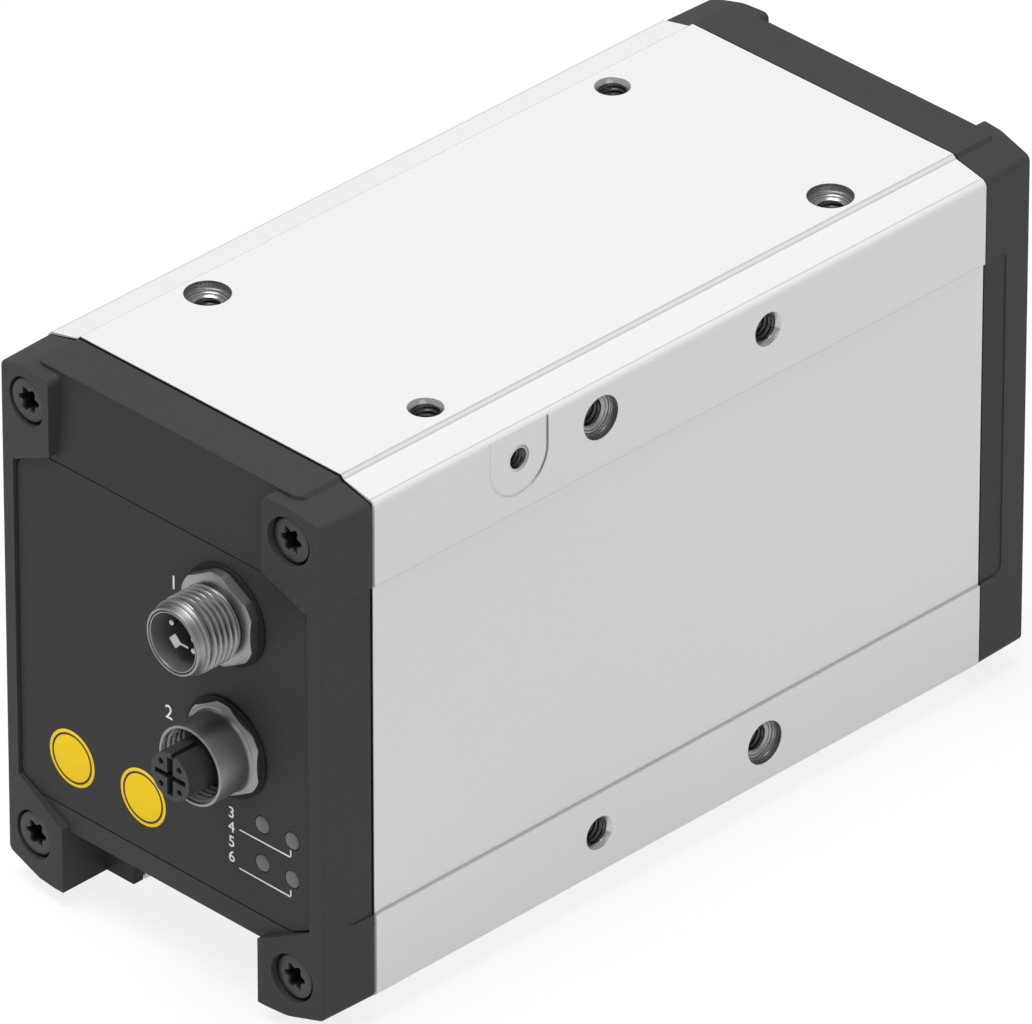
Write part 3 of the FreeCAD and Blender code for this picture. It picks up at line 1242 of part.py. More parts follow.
def make_motor():
    """Can, flange, stator, rotor and shaft of the flat motor on the drive plate."""
    flange = "3"
    can_height = "$motor_height - %s" % flange
    can_whole = rod("motor_can_whole", "$motor_radius", can_height, "0", MOTOR_Y,
                    "%s + %s" % (PLATE_TOP, flange))
    can_room = rod("motor_can_room", "$motor_radius - $motor_wall", "%s - $motor_wall" % can_height,
                   "0", MOTOR_Y, "%s + %s" % (PLATE_TOP, flange))
    can = cut("motor_can", can_whole, [can_room])
    plate = ring("motor_flange", "$motor_radius", "$motor_shaft_radius + $running_clearance", flange,
                 "0", MOTOR_Y, PLATE_TOP)
    stator = ring("motor_stator", "$motor_radius - $motor_wall - $assembly_gap", "$stator_inner",
                  "$rotor_height", "0", MOTOR_Y, "%s + %s + 2" % (PLATE_TOP, flange))
    rotor = ring("motor_rotor", "$rotor_radius", "$motor_shaft_radius + $running_clearance",
                 "$rotor_height", "0", MOTOR_Y, "%s + %s + 2" % (PLATE_TOP, flange))
    shaft_bottom = GEAR_BOTTOM
    shaft = rod("motor_shaft", "$motor_shaft_radius",
                "%s - (%s) + $motor_height - $motor_wall - 0.3" % (PLATE_TOP, shaft_bottom),
                "0", MOTOR_Y, shaft_bottom)
    return [can, plate, stator, rotor, shaft]


def make_control_board():
    level = PLATE_TOP + " + $board_rise"
    board = block("control_board", "2 * $board_half_width", "$board_front - $board_rear",
                  "$board_thickness", "0", "-$board_front", level)
    parts = [board]
    for name, x in (("left", "-"), ("right", "")):
        place_x = "%s($board_half_width - 4)" % x
        parts.append(rod("front_board_post_" + name, "$post_radius", "%s + $floor_top" % level,
                         place_x, "-$board_front + 4", "-$floor_top"))
        parts.append(rod("rear_board_post_" + name, "$post_radius", "$board_rise",
                         place_x, "-$board_rear - 4", PLATE_TOP))
    return parts


# Assembly

nodes = [
    make_housing(),
    make_cap("front_cap", "", "$cap_side_pocket_front", True),
    make_cap("rear_cap", "-", "$cap_side_pocket_rear", False),
    make_gasket("front_gasket", ""),
    make_gasket("rear_gasket", "-"),
    make_panel(),
    make_power_shell(),
    make_power_carrier(),
    make_power_contacts(),
    make_seal("power_connector_seal", "$power_z"),
    make_com_sleeve(),
    make_com_insert(),
    make_seal("com_connector_seal", "$com_z"),
    make_interface_board(),
    make_rail("right_guide_rail", ""),
    make_rail("left_guide_rail", "-"),
    make_jaw("front_jaw", "-"),
    make_jaw("rear_jaw", ""),
    make_rack("front_rack", "-"),
    make_rack("rear_rack", ""),
    make_pinion_shaft(),
    make_drive_gear(),
    make_motor_pinion(),
    make_strip(),
    make_drive_plate(),
]
for index, (x, z) in enumerate(CAP_SCREWS, start=1):
    nodes.append(make_cap_screw("front_cap_screw_%d" % index, "front", x, z))
    nodes.append(make_cap_screw("rear_cap_screw_%d" % index, "rear", x, z))
for index, (x, z) in enumerate(LIGHT_AXES, start=1):
    nodes.append(make_status_light(index, x, z))
nodes += make_bearing("lower_bearing", "-$floor_top - $bearing_width")
nodes += make_bearing("upper_bearing", PLATE_BOTTOM)
nodes += make_motor()
nodes += make_control_board()

# Checks and export

doc.recompute()
for item in doc.Objects:
    for flag in ("Invalid", "Error"):
        if flag in item.State:
            raise RuntimeError("%s is in state %s" % (item.Label, item.State))
for item in nodes:
    if item.Shape.isNull() or not item.Shape.isValid():
        raise RuntimeError("%s has no valid shape" % item.Label)

os.makedirs("parts", exist_ok=True)
for item in nodes:
    item.Shape.exportStep("parts/%s.step" % item.Label)
print("%d nodes written" % len(nodes))
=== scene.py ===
"""Looks of an electric parallel gripper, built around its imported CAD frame."""

import json
import math

import bmesh
import bpy
from mathutils import Matrix, Vector

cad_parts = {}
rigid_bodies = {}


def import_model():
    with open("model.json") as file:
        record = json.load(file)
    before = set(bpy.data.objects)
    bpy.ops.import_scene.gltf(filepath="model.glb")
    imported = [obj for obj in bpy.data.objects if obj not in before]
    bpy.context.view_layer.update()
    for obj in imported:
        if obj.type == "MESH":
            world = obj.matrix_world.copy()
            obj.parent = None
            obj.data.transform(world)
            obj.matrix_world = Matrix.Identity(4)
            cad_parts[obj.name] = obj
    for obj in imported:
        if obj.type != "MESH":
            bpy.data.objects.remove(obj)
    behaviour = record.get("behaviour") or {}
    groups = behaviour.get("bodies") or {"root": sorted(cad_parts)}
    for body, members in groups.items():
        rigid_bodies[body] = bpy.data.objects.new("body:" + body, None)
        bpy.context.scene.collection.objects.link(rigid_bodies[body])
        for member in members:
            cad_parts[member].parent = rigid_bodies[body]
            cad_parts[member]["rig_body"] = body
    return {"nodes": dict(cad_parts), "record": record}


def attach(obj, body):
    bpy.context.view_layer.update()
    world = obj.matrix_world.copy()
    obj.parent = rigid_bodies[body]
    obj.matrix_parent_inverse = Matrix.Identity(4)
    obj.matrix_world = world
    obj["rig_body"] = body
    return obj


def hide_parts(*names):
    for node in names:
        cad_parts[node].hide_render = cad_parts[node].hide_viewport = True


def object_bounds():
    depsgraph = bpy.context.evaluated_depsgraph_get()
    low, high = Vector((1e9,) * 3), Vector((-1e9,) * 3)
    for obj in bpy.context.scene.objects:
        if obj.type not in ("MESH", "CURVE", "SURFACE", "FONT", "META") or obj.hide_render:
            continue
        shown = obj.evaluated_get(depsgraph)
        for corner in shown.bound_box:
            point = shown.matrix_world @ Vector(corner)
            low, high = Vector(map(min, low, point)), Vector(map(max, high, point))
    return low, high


bl_info = {
    "name": "Parallel gripper looks",
    "version": (1, 0, 0),
    "blender": (4, 5, 0),
    "location": "3D view, sidebar, Gripper",
    "description": "Finishes, connectors, fasteners, threads and marks of an electric parallel gripper",
    "category": "Object",
}

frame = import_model()
CAD_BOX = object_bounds()
MM = 0.001
FULL_TURN = 2 * math.pi

# Places and sizes on the part, in millimetres

HALF_WIDTH = 33.0
PANEL_Y = -71.65
CONNECTOR_X = 12.9
POWER_Z = -24.8
NETWORK_Z = -46.9
FLANGE_ACROSS = 14.0
FLANGE_CORNER = 7.45
CONTACT_PITCH = 3.7
CONTACT_DEPTH = 7.6
CROSS_HALF = 0.35
CROSS_MOUTH = (0.58, 0.46)
CAP_SCREW_Y = 72.1
CAP_SCREW_SPREAD = (53.0, 73.0)
CAP_SCREW_MIDDLE_Z = -42.9
LIGHT_PITCH = (6.0, 6.45)
LIGHT_MIDDLE = (22.8, -60.225)
LIGHT_RADIUS = 1.3
MARK_PLACES = ((-19.1, -63.4), (-4.5, -63.4))
EARTH_HOLE = (-33.4, -7.1)
EARTH_MOUTH = 2.05
EARTH_PATCH = 5.75

# Mounting holes as (along, up) of their face; the first two of each have a centring bore
TOP_HOLES = ((22, 41), (-22, -41), (22, -41), (-22, 41))
SIDE_HOLES = ((-17, -7.4), (17, -77.4), (17, -7.4), (-17, -77.4))
THREAD_STARTS = (2, 2, 0.66, 0.66)
FINGER_HOLES = (16.25, 40.25)
FINGER_FACE_Z = -88.6

# Threads in the holes as (radius, pitch, depth)
MOUNT_THREAD = (2.1, 0.8, 6.9)
EARTH_THREAD = (1.65, 0.7, 7.6)
FINGER_THREAD = (2.1, 0.8, 8.6)

# Form of every thread; bottom and flank are shares of half a pitch
RINGS_PER_TURN = 8
THREAD_BOTTOM = 0.14
THREAD_FLANK = 0.7

# Places where a finish paints shade, and where the carrier turns to metal; the caps' leaning
# face by its half width and by where it starts outwards and upwards
STEP_EDGES = (26.3, 26.9)
SHOULDER_EDGE = 32.06
BAND_EDGES = (-15.85, -70.55)
LEANING_FACE = (21.4, 70.35, -14.5)
SHELL_BORE = 5.34
SHELL_THREAD = (5.36, 5.74)
CARRIER_RIM = 82.0

# Print on the panel
DIGIT_SCALE = 1.38
STROKE_WIDTH = 0.22

# Bearings on the pinion shaft, coils of the motor, and the faces that carry the boards' components
BALL_RADIUS = 0.8
BALL_CIRCLE = 6.775
BALL_COUNT = 10
BALLS = (("lower_balls", -60.0), ("upper_balls", -46.4))
MOTOR_MIDDLE = (0, 24, -19.2)
COIL_SIZE = (4.2, 5.4, 2.2)
COIL_ROUND = 0.9
COIL_CIRCLE = 15.6
COIL_COUNT = 12
CONTROL_BOARD_Z = -29.8
INTERFACE_BOARD_Y = -62.8
INTERFACE_PRESS = 0.3
CHIP_ROUND = 0.12

# Camera: its place, the way it looks, and its focal length
CAMERA_PLACE = (1504.06, -1509.94, 1279.78)
CAMERA_WAY = (-0.59954, 0.60152, -0.52795)
CAMERA_LENS = 606.5


def mm(x, y, z):
    """Vector in metres from millimetres."""
    return Vector((x * MM, y * MM, z * MM))


# Sizes and colours that a user would change


def colour(name, value, text):
    return bpy.props.FloatVectorProperty(
        name=name, description=text, subtype="COLOR", size=3, min=0, max=1, default=value
    )


def length(name, value, text):
    return bpy.props.FloatProperty(
        name=name, description=text, unit="LENGTH", subtype="DISTANCE", default=value * MM, min=0
    )


def strength(name, value, text):
    return bpy.props.FloatProperty(name=name, description=text, default=value, min=0)


class FinishSettings(bpy.types.PropertyGroup):
    housing: colour("Housing", (0.775, 0.785, 0.78), "Blasted and anodised aluminium")
    cap: colour("Caps", (0.053, 0.055, 0.054), "Black anodised end caps")
    panel: colour("Panel", (0.040, 0.042, 0.041), "Black connector panel")
    shell: colour("Connector shells", (0.33, 0.33, 0.325), "Nickel plated brass")
    print_white: colour("Print", (0.86, 0.86, 0.86), "White print on the panel")
    dot_yellow: colour("Dots", (1.0, 0.67, 0.015), "Round yellow marks on the panel")
    lamp: colour("Status lights", (0.11, 0.112, 0.112), "Grey light windows, unlit")
    edge_round: length("Edge round", 0.3, "Width of the rounded edges of the end caps")


class ConnectorSettings(bpy.types.PropertyGroup):
    pitch: length("Thread pitch", 1.0, "Pitch of the round connectors' threads")
    crest: length("Crest radius", 5.92, "Outside of the power connector's thread")
    root: length("Root radius", 5.38, "Bottom of the power connector's thread")


class FastenerSettings(bpy.types.PropertyGroup):
    head_radius: length("Head radius", 3.5, "Cap screw heads")
    star_radius: length("Star radius", 2.05, "Points of the star socket")
    ridge: length("Thread ridge", 0.34, "Height of the thread turns in the mounting holes")


class StageSettings(bpy.types.PropertyGroup):
    sky: strength("Sky", 0.43, "Strength of the surrounding light")
    key: strength("Key", 2.45, "Strength of the soft light from above")
    fill: strength("Fill", 0.2, "Strength of the light from the camera's right")


# Shader tools


class Wire:
    """A shader socket that takes arithmetic; every operation adds a Math node."""

    def __init__(self, paint, socket):
        self.paint = paint
        self.socket = socket

    def maths(self, operation, *values):
        node = self.paint.add("ShaderNodeMath", {"operation": operation}, dict(enumerate(values)))
        return node(0)

    def __add__(self, other):
        return self.maths("ADD", self, other)

    __radd__ = __add__

    def __sub__(self, other):
        return self.maths("SUBTRACT", self, other)

    def __rsub__(self, other):
        return self.maths("SUBTRACT", other, self)

    def __mul__(self, other):
        return self.maths("MULTIPLY", self, other)

    def __abs__(self):
        return self.maths("ABSOLUTE", self)

    def root(self):
        return self.maths("SQRT", self)

    def at_most(self, other):
        return self.maths("MINIMUM", self, other)

    def at_least(self, other):
        return self.maths("MAXIMUM", self, other)

    def over(self, edge):
        """1 above the edge, 0 below."""
        return self.maths("GREATER_THAN", self, edge)

    def sharpened(self, low, high):
        """0 at low, 1 at high, straight between."""
        node = self.paint.add(
            "ShaderNodeMapRange",
            {"clamp": True},
            {"Value": self, "From Min": low, "From Max": high, "To Min": 0.0, "To Max": 1.0},
        )
        return node(0)

    def line(self, centre, half_width):
        """1 on a centre value, fading to 0 at half a width from it."""
        return abs(self - centre).sharpened(half_width, 0.0)


def reach(along, up):
    """Distance from the point where both are 0."""
    return (along * along + up * up).root()


class Paint:
    """Node material under construction."""

    def __init__(self, name):
        self.material = bpy.data.materials.new(name)
        self.material.use_nodes = True
        self.tree = self.material.node_tree
        self.tree.nodes.clear()
        self.place = self.add("ShaderNodeTexCoord", {}, {})("Object")

    def add(self, kind, settings, values):
        """Add a node: its settings first, then values or links for its input sockets."""
        node = self.tree.nodes.new(kind)
        for key, value in settings.items():
            setattr(node, key, value)
        for key, value in values.items():
            socket = node.inputs[key]
            if isinstance(value, Wire):
                self.tree.links.new(value.socket, socket)
            elif isinstance(value, tuple) and len(value) == 3 and socket.type == "RGBA":
                socket.default_value = (*value, 1)
            else:
                socket.default_value = value
        return lambda key: Wire(self, node.outputs[key])

    def axes(self):
        """Place on the part along X, Y and Z, in millimetres."""
        parts = self.add("ShaderNodeSeparateXYZ", {}, {"Vector": self.place})
        return [parts(axis) * 1000.0 for axis in "XYZ"]

    def noise(self, scale, detail=2.0, stretch=None):
        """Noise on the piece's own coordinates; scale is turns per metre."""
        place = self.place
        if stretch:
            place = self.add("ShaderNodeMapping", {}, {"Vector": place, "Scale": stretch})("Vector")
        node = self.add("ShaderNodeTexNoise", {}, {"Vector": place, "Scale": scale, "Detail": detail})
        return node("Fac")

    def shade(self, first, second, factor):
        """Base colour that moves between two tones; 6, 7 and 2 are a Mix node's colour sockets."""
        mixed = self.add("ShaderNodeMix", {"data_type": "RGBA"}, {0: factor, 6: first, 7: second})
        return mixed(2)

    def bump(self, height, strength, distance):
        node = self.add(
            "ShaderNodeBump", {}, {"Height": height, "Strength": strength, "Distance": distance}
        )
        return node("Normal")

    def finish(self, values):
        shader = self.add("ShaderNodeBsdfPrincipled", {}, values)
        self.add("ShaderNodeOutputMaterial", {}, {"Surface": shader("BSDF")})
        return self.material


def scaled(base, factor):
    return tuple(min(1.0, c * factor) for c in base)


def powdery(name, base, spread, roughness, grain, bump, specular=0.5):
    """Even finish with a fine grain: painted metal, plastic, rubber, print."""
    paint = Paint(name)
    cloud = paint.noise(60.0, 3.0)
    fine = paint.noise(grain, 2.0)
    tone = cloud * 0.5 + fine * 0.5
    return paint.finish(
        {
            "Base Color": paint.shade(scaled(base, 1 - spread), scaled(base, 1 + spread), tone),
            "Roughness": roughness + (cloud - 0.5) * 0.12,
            "Specular IOR Level": specular,
            "Normal": paint.bump(fine, bump, 0.00004),
        }
    )


def drawn(name, base, roughness, stretch, grain=2600.0, metallic=1.0, bump=0.12):
    """Machined metal whose fine marks run along one direction of the piece."""
    paint = Paint(name)
    marks = paint.noise(grain, 3.0, stretch)
    cloud = paint.noise(90.0, 2.0)
    return paint.finish(
        {
            "Base Color": paint.shade(scaled(base, 0.86), scaled(base, 1.1), marks * 0.6 + cloud * 0.4),
            "Roughness": roughness + (marks - 0.5) * 0.16,
            "Metallic": metallic,
            "Normal": paint.bump(marks, bump, 0.00003),
        }
    )


def earth_patch_shade(along, up):
    """Painted shade for the edge of the patch round the earth thread and for its lead-in; both darker on
    their far side.
    """
    edge = reach(along, up.at_most(0.0)).line(EARTH_PATCH, 0.28)
    edge = edge * (0.19 + along.sharpened(2.0, 4.5) * 0.75)
    mouth = reach(along, up)
    far = along.sharpened(-1.0, 1.6)
    # Painted shade standing for the lead-in, which has no chamfer in the solid
    lead_in = (1.0 - mouth.over(EARTH_MOUTH)) * (far * 0.5 + 0.1)
    return edge + (lead_in + mouth.line(EARTH_MOUTH, 0.16) * far * 0.75)


def housing_finish(settings):
    """Blasted aluminium: matt, nearly white, with painted shade in fine grey lines along its worked edges
    and round the earth thread.
    """
    paint = Paint("blasted_aluminium")
    x, y, z = paint.axes()
    across = abs(x)
    grain = paint.noise(4200.0, 2.0)
    cloud = paint.noise(26.0, 4.0)
    # Painted shade: thin dark lines along the step, shoulder and band edges, and round the earth patch and
    # its lead-in
    painted_top_edge_shade = across.line(STEP_EDGES[0], 0.2) + across.line(STEP_EDGES[1], 0.2)
    painted_top_edge_shade += across.line(SHOULDER_EDGE, 0.22)
    painted_band_edge_shade = z.line(BAND_EDGES[0], 0.4) * 0.6 + z.line(BAND_EDGES[1], 0.3)
    lines = (painted_top_edge_shade + painted_band_edge_shade * across.over(HALF_WIDTH - 0.5)) * 0.42
    patch = earth_patch_shade(y - EARTH_HOLE[0], z - EARTH_HOLE[1])
    lines = lines + patch * x.over(HALF_WIDTH - 0.2)
    base = tuple(settings.housing)
    tone = (0.929 + grain * 0.025 + cloud * 0.046) * (1.0 - lines)
    return paint.finish(
        {
            "Base Color": paint.shade(scaled(base, 0.2), scaled(base, 1.03), tone),
            "Roughness": 0.52 + (grain - 0.5) * 0.14,
            "Metallic": 0.12,
            "Specular IOR Level": 0.4,
            "Normal": paint.bump(grain, 0.10, 0.00003),
        }
    )


def cap_finish(settings):
    """Black anodised, satin, with slightly lighter clouds and painted shade that darkens its leaning top
    face.
    """
    paint = Paint("black_anodised_caps")
    x, y, z = paint.axes()
    grain = paint.noise(3400.0, 2.0)
    cloud = paint.noise(34.0, 4.0)
    half, outer, lower = LEANING_FACE
    # Painted shade: the leaning top face of each cap is darkened
    painted_leaning_shade = abs(y).over(outer) * z.over(lower) * (half - abs(x)).over(0.0)
    tone = (0.48 + cloud * 0.31 + grain * 0.21) * (1.0 - painted_leaning_shade * 0.9)
    base = tuple(settings.cap)
    return paint.finish(
        {
            "Base Color": paint.shade(scaled(base, 0.80), scaled(base, 1.07), tone),
            "Roughness": 0.46 + (grain - 0.5) * 0.16,
            "Specular IOR Level": 0.08,
            "Normal": paint.bump(grain, 0.12, 0.00003),
        }
    )


def screw_finish():
    """Blackened steel, with painted shade that darkens it down the star socket and round the head."""
    paint = Paint("blackened_screw_steel")
    y = paint.axes()[1]
    # Painted shade: 1 on the head's face, falling to 0 down the socket and round the head, darkening the
    # colour and taking away the metallic look
    face = abs(y).sharpened(CAP_SCREW_Y - 0.6, CAP_SCREW_Y - 0.15)
    marks = paint.noise(2600.0, 3.0)
    tone = face * (0.8 + marks * 0.4)
    return paint.finish(
        {
            "Base Color": paint.shade((0.012, 0.012, 0.012), (0.07, 0.072, 0.071), tone),
            "Roughness": 0.42 + (marks - 0.5) * 0.16,
            "Metallic": face * 0.6,
            "Specular IOR Level": 0.2,
            "Normal": paint.bump(marks, 0.12, 0.00003),
        }
    )


def threaded_finish(settings):
    """Nickel plate of the power connector, with painted shade that makes it dull and dark at the bottom of
    its thread.
    """
    paint = Paint("nickel_plate_threaded")
    x, _, z = paint.axes()
    radius = reach(x - CONNECTOR_X, z - POWER_Z)
    # Painted shade: 0 at the bottom of the thread, 1 on its flanks and in the bore
    bright = radius.sharpened(*SHELL_THREAD).at_least(1.0 - radius.over(SHELL_BORE))
    marks = paint.noise(2600.0, 3.0, (1, 8, 1))
    base = tuple(settings.shell)
    return paint.finish(
        {
            "Base Color": paint.shade(scaled(base, 0.35), scaled(base, 1.1), bright * (0.78 + marks * 0.26)),
            "Roughness": 0.42 + (marks - 0.5) * 0.16,
            "Metallic": 1.0,
            "Normal": paint.bump(marks, 0.12, 0.00003),
        }
    )


def carrier_finish(settings):
    """Grey contact carrier with a bright rim round its mouth."""
    paint = Paint("contact_carrier")
    y = paint.axes()[1]
    grain = paint.noise(2600.0, 2.0)
    rim = (y * -1.0).sharpened(CARRIER_RIM - 0.05, CARRIER_RIM)
    return paint.finish(
        {
            "Base Color": paint.shade((0.12, 0.122, 0.121), tuple(settings.shell), rim),
            "Roughness": 0.4 + (grain - 0.5) * 0.1,
            "Metallic": rim,
            "Normal": paint.bump(grain, 0.1, 0.00002),
        }
    )


def board_finish():
    """Green solder resist over faint copper tracks."""
    paint = Paint("circuit_board")
    brick = paint.add(
        "ShaderNodeTexBrick",
        {},
        {
            "Vector": paint.place,
            "Color1": (0.012, 0.12, 0.045),
            "Color2": (0.018, 0.16, 0.06),
            "Mortar": (0.03, 0.22, 0.09),
            "Scale": 160.0,
            "Mortar Size": 0.03,
        },
    )
    speck = paint.noise(900.0, 1.0)
    return paint.finish(
        {
            "Base Color": brick("Color"),
            "Roughness": 0.3 + speck * 0.2,
            "Normal": paint.bump(brick("Fac"), 0.2, 0.00005),
        }
    )


FINISHES = {}


def make_finishes(settings):
    """Fill the table of finishes by material slot, with some more for added pieces."""
    FINISHES.update(
        {
            "housing_metal": housing_finish(settings),
            "cap_metal": cap_finish(settings),
            "panel_metal": powdery("panel_lacquer", tuple(settings.panel), 0.06, 0.5, 3800.0, 0.1,
                                   specular=0.12),
            "screw_steel": screw_finish(),
            "seal_rubber": powdery("seal_rubber", (0.016, 0.016, 0.016), 0.15, 0.7, 2400.0, 0.2,
                                   specular=0.2),
            "gasket_rubber": powdery("gasket_rubber", (0.005, 0.005, 0.005), 0.15, 0.85, 2400.0, 0.2,
                                     specular=0.05),
            "connector_metal": drawn("nickel_plate", tuple(settings.shell), 0.44, (1, 8, 1)),
            "threaded_metal": threaded_finish(settings),
            "mouth_metal": drawn("machined_mouths", (0.56, 0.56, 0.555), 0.2, (1, 1, 1), grain=120.0,
                                 metallic=0.85, bump=0.01),
            "bore_metal": drawn("machined_bores", (0.35, 0.355, 0.35), 0.25, (1, 1, 1), grain=120.0,
                                metallic=0.85, bump=0.01),
            "contact_brass": drawn("tinned_contacts", (0.50, 0.50, 0.485), 0.32, (1, 1, 1)),
            "carrier_plastic": carrier_finish(settings),
            # Painted shade: the threads in the holes are near black, standing for the shade deep inside them
            "thread_steel": drawn("painted_shade_tapped_threads", (0.085, 0.085, 0.084), 0.28, (1, 1, 6), grain=400.0,
                                  metallic=0.85, bump=0.03),
            "insert_plastic": powdery("insert_plastic", (0.028, 0.029, 0.03), 0.1, 0.5, 2800.0, 0.12),
            "light_plastic": powdery("light_window", tuple(settings.lamp), 0.05, 0.35, 2000.0, 0.05),
            "board_green": board_finish(),
            "rail_steel": drawn("ground_rail_steel", (0.50, 0.50, 0.51), 0.3, (1, 0.03, 1)),
            "jaw_steel": drawn("ground_jaw_steel", (0.46, 0.46, 0.47), 0.34, (1, 0.05, 1)),
            "gear_steel": drawn("gear_steel", (0.42, 0.42, 0.43), 0.36, (1, 1, 0.1)),
            "strip_steel": drawn("strip_steel", (0.55, 0.55, 0.55), 0.28, (1, 0.03, 1)),
            "plate_aluminium": drawn("milled_aluminium", (0.72, 0.73, 0.74), 0.36, (1, 0.2, 1)),
            "bearing_steel": drawn("bearing_steel", (0.56, 0.56, 0.57), 0.18, (1, 1, 6)),
            "motor_black": powdery("motor_lacquer", (0.025, 0.025, 0.026), 0.1, 0.4, 2600.0, 0.1),
            "stator_iron": drawn("stator_laminations", (0.22, 0.22, 0.23), 0.5, (0.02, 0.02, 1),
                                 grain=2000.0, bump=0.5),
            "rotor_steel": drawn("rotor_magnets", (0.38, 0.38, 0.40), 0.3, (1, 1, 1)),
            "post_brass": drawn("turned_brass", (0.62, 0.46, 0.20), 0.3, (1, 1, 5)),
            "white_print": powdery("white_print", tuple(settings.print_white), 0.03, 0.6, 3000.0, 0.05),
            "yellow_mark": powdery("yellow_mark", tuple(settings.dot_yellow), 0.02, 0.6, 1500.0, 0.04,
                                   specular=0.1),
            "chip_plastic": powdery("chip_plastic", (0.02, 0.02, 0.021), 0.2, 0.55, 3000.0, 0.15),
            "copper": drawn("copper_wire", (0.70, 0.32, 0.16), 0.35, (1, 1, 12)),
        }
    )


# Mesh tools


def linked(name, data):
    """New object in the scene."""
    item = bpy.data.objects.new(name, data)
    bpy.context.scene.collection.objects.link(item)
    return item


def seat(name, mesh, body, finish, replaced=()):
    """Put a finished mesh on its body, with the material of its finish."""
    piece = linked(name, mesh)
    mesh.materials.clear()
    mesh.materials.append(FINISHES[finish])
    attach(piece, body)
    if replaced:
        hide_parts(*replaced)
    return piece


def smooth(mesh, angle):
    """Shade a mesh smooth, except over the angle."""
    mesh.polygons.foreach_set("use_smooth", [True] * len(mesh.polygons))
    mesh.set_sharp_from_angle(angle=math.radians(angle))


def smooth_mesh(name, bm, angle=30.0):
    """Mesh of a bmesh, faces outwards, smooth except over the angle."""
    bmesh.ops.recalc_face_normals(bm, faces=bm.faces)
    mesh = bpy.data.meshes.new(name)
    bm.to_mesh(mesh)
    bm.free()
    smooth(mesh, angle)
    return mesh


def settled(holder, name):
    """Mesh that an object gives with its modifiers; the object goes."""
    bpy.context.view_layer.update()
    graph = bpy.context.evaluated_depsgraph_get()
    mesh = bpy.data.meshes.new_from_object(holder.evaluated_get(graph))
    mesh.name = name
    holder.modifiers.clear()
    bpy.data.objects.remove(holder)
    return mesh


def close_loops(bm, loops):
    """Faces between each loop of vertices and the next."""
    for lower, upper in zip(loops, loops[1:]):
        for step in range(len(lower)):
            after = (step + 1) % len(lower)
            bm.faces.new((lower[step], lower[after], upper[after], upper[step]))


def turned(bm, rings, place, steps=96):
    """Closed turned form through rings of (radius, height); each may be a function of the angle."""
    loops = []
    for radius, height in rings:
        loop = []
        for step in range(steps):
            angle = FULL_TURN * step / steps
            r = radius(angle) if callable(radius) else radius
            h = height(angle) if callable(height) else height
            loop.append(bm.verts.new(place(r * math.cos(angle), r * math.sin(angle), h)))
        loops.append(loop)
    close_loops(bm, loops)
    bm.faces.new(loops[0])
    bm.faces.new(loops[-1])


def band(bm, section, place, steps=72):
    """Closed ring with the given section of (radius, height)."""
    loops = []
    for radius, height in section:
        angles = [FULL_TURN * step / steps for step in range(steps)]
        loops.append([bm.verts.new(place(radius * math.cos(a), radius * math.sin(a), height))
                      for a in angles])
    close_loops(bm, loops + loops[:1])


def thicken(bm, offset):
    """Make a plate of a flat sheet; its faces come in a fixed order."""
    faces = bm.faces[:]
    rims = [edge for edge in bm.edges if edge.is_boundary]
    backs = {vert: bm.verts.new(vert.co + offset) for vert in bm.verts[:]}
    for face in faces:
        bm.faces.new([backs[vert] for vert in reversed(face.verts)])
    for edge in rims:
        near, far = edge.verts
        bm.faces.new((near, far, backs[far], backs[near]))


def on_panel(x, z):
    """Placement whose height runs out of the panel, about a point on it."""
    return lambda u, v, h: mm(x + u, PANEL_Y - h, z + v)


def loose(u, v, h):
    """Placement of a repeated item about its own origin, height along +Z."""
    return mm(u, v, h)


def four_spots(x, y, z, wide, high):
    """Corners of an upright rectangle about its middle."""
    return [(x + a * wide / 2, y, z + b * high / 2) for a in (-1, 1) for b in (-1, 1)]


def thread_turns(start, end, crest, root, pitch):
    """Rings of a thread from start to end height, running in and out over most of a turn."""
    count = round(abs(end - start) / pitch * RINGS_PER_TURN)
    run = 0.6 * pitch
    rings = []
    for index in range(count + 1):
        height = start + (end - start) * index / count
        run_in = min(1.0, abs(height - start) / run, abs(end - height) / run)

        # Both values are bound here, since the radius is asked for after the loop
        def radius(angle, height=height, run_in=run_in):
            phase = (height / pitch + angle / FULL_TURN) % 1
            ridge = min(1.0, max(0.0, (1 - abs(2 * phase - 1) - THREAD_BOTTOM) / THREAD_FLANK))
            return root + (crest - root) * ridge * run_in

        rings.append((radius, height))
    return rings


def hexagon(across, corner):
    """Radius of a hexagon with turned-off corners, by angle."""

    def radius(angle):
        off = (angle + math.pi / 6) % (math.pi / 3) - math.pi / 6
        return min(across / 2 / math.cos(off), corner)

    return radius


def flange_rings(start, front):
    """Connector shank and hexagonal flange, whose front falls away at 30 degrees outside start."""
    outline = hexagon(FLANGE_ACROSS, FLANGE_CORNER)

    def face(angle):
        return front - max(0.0, outline(angle) - start) * math.tan(math.radians(30))

    return [(0.2, -7.25), (5.2, -7.25), (5.4, -7.05), (5.4, 0.5), (outline, 0.5), (outline, face)]


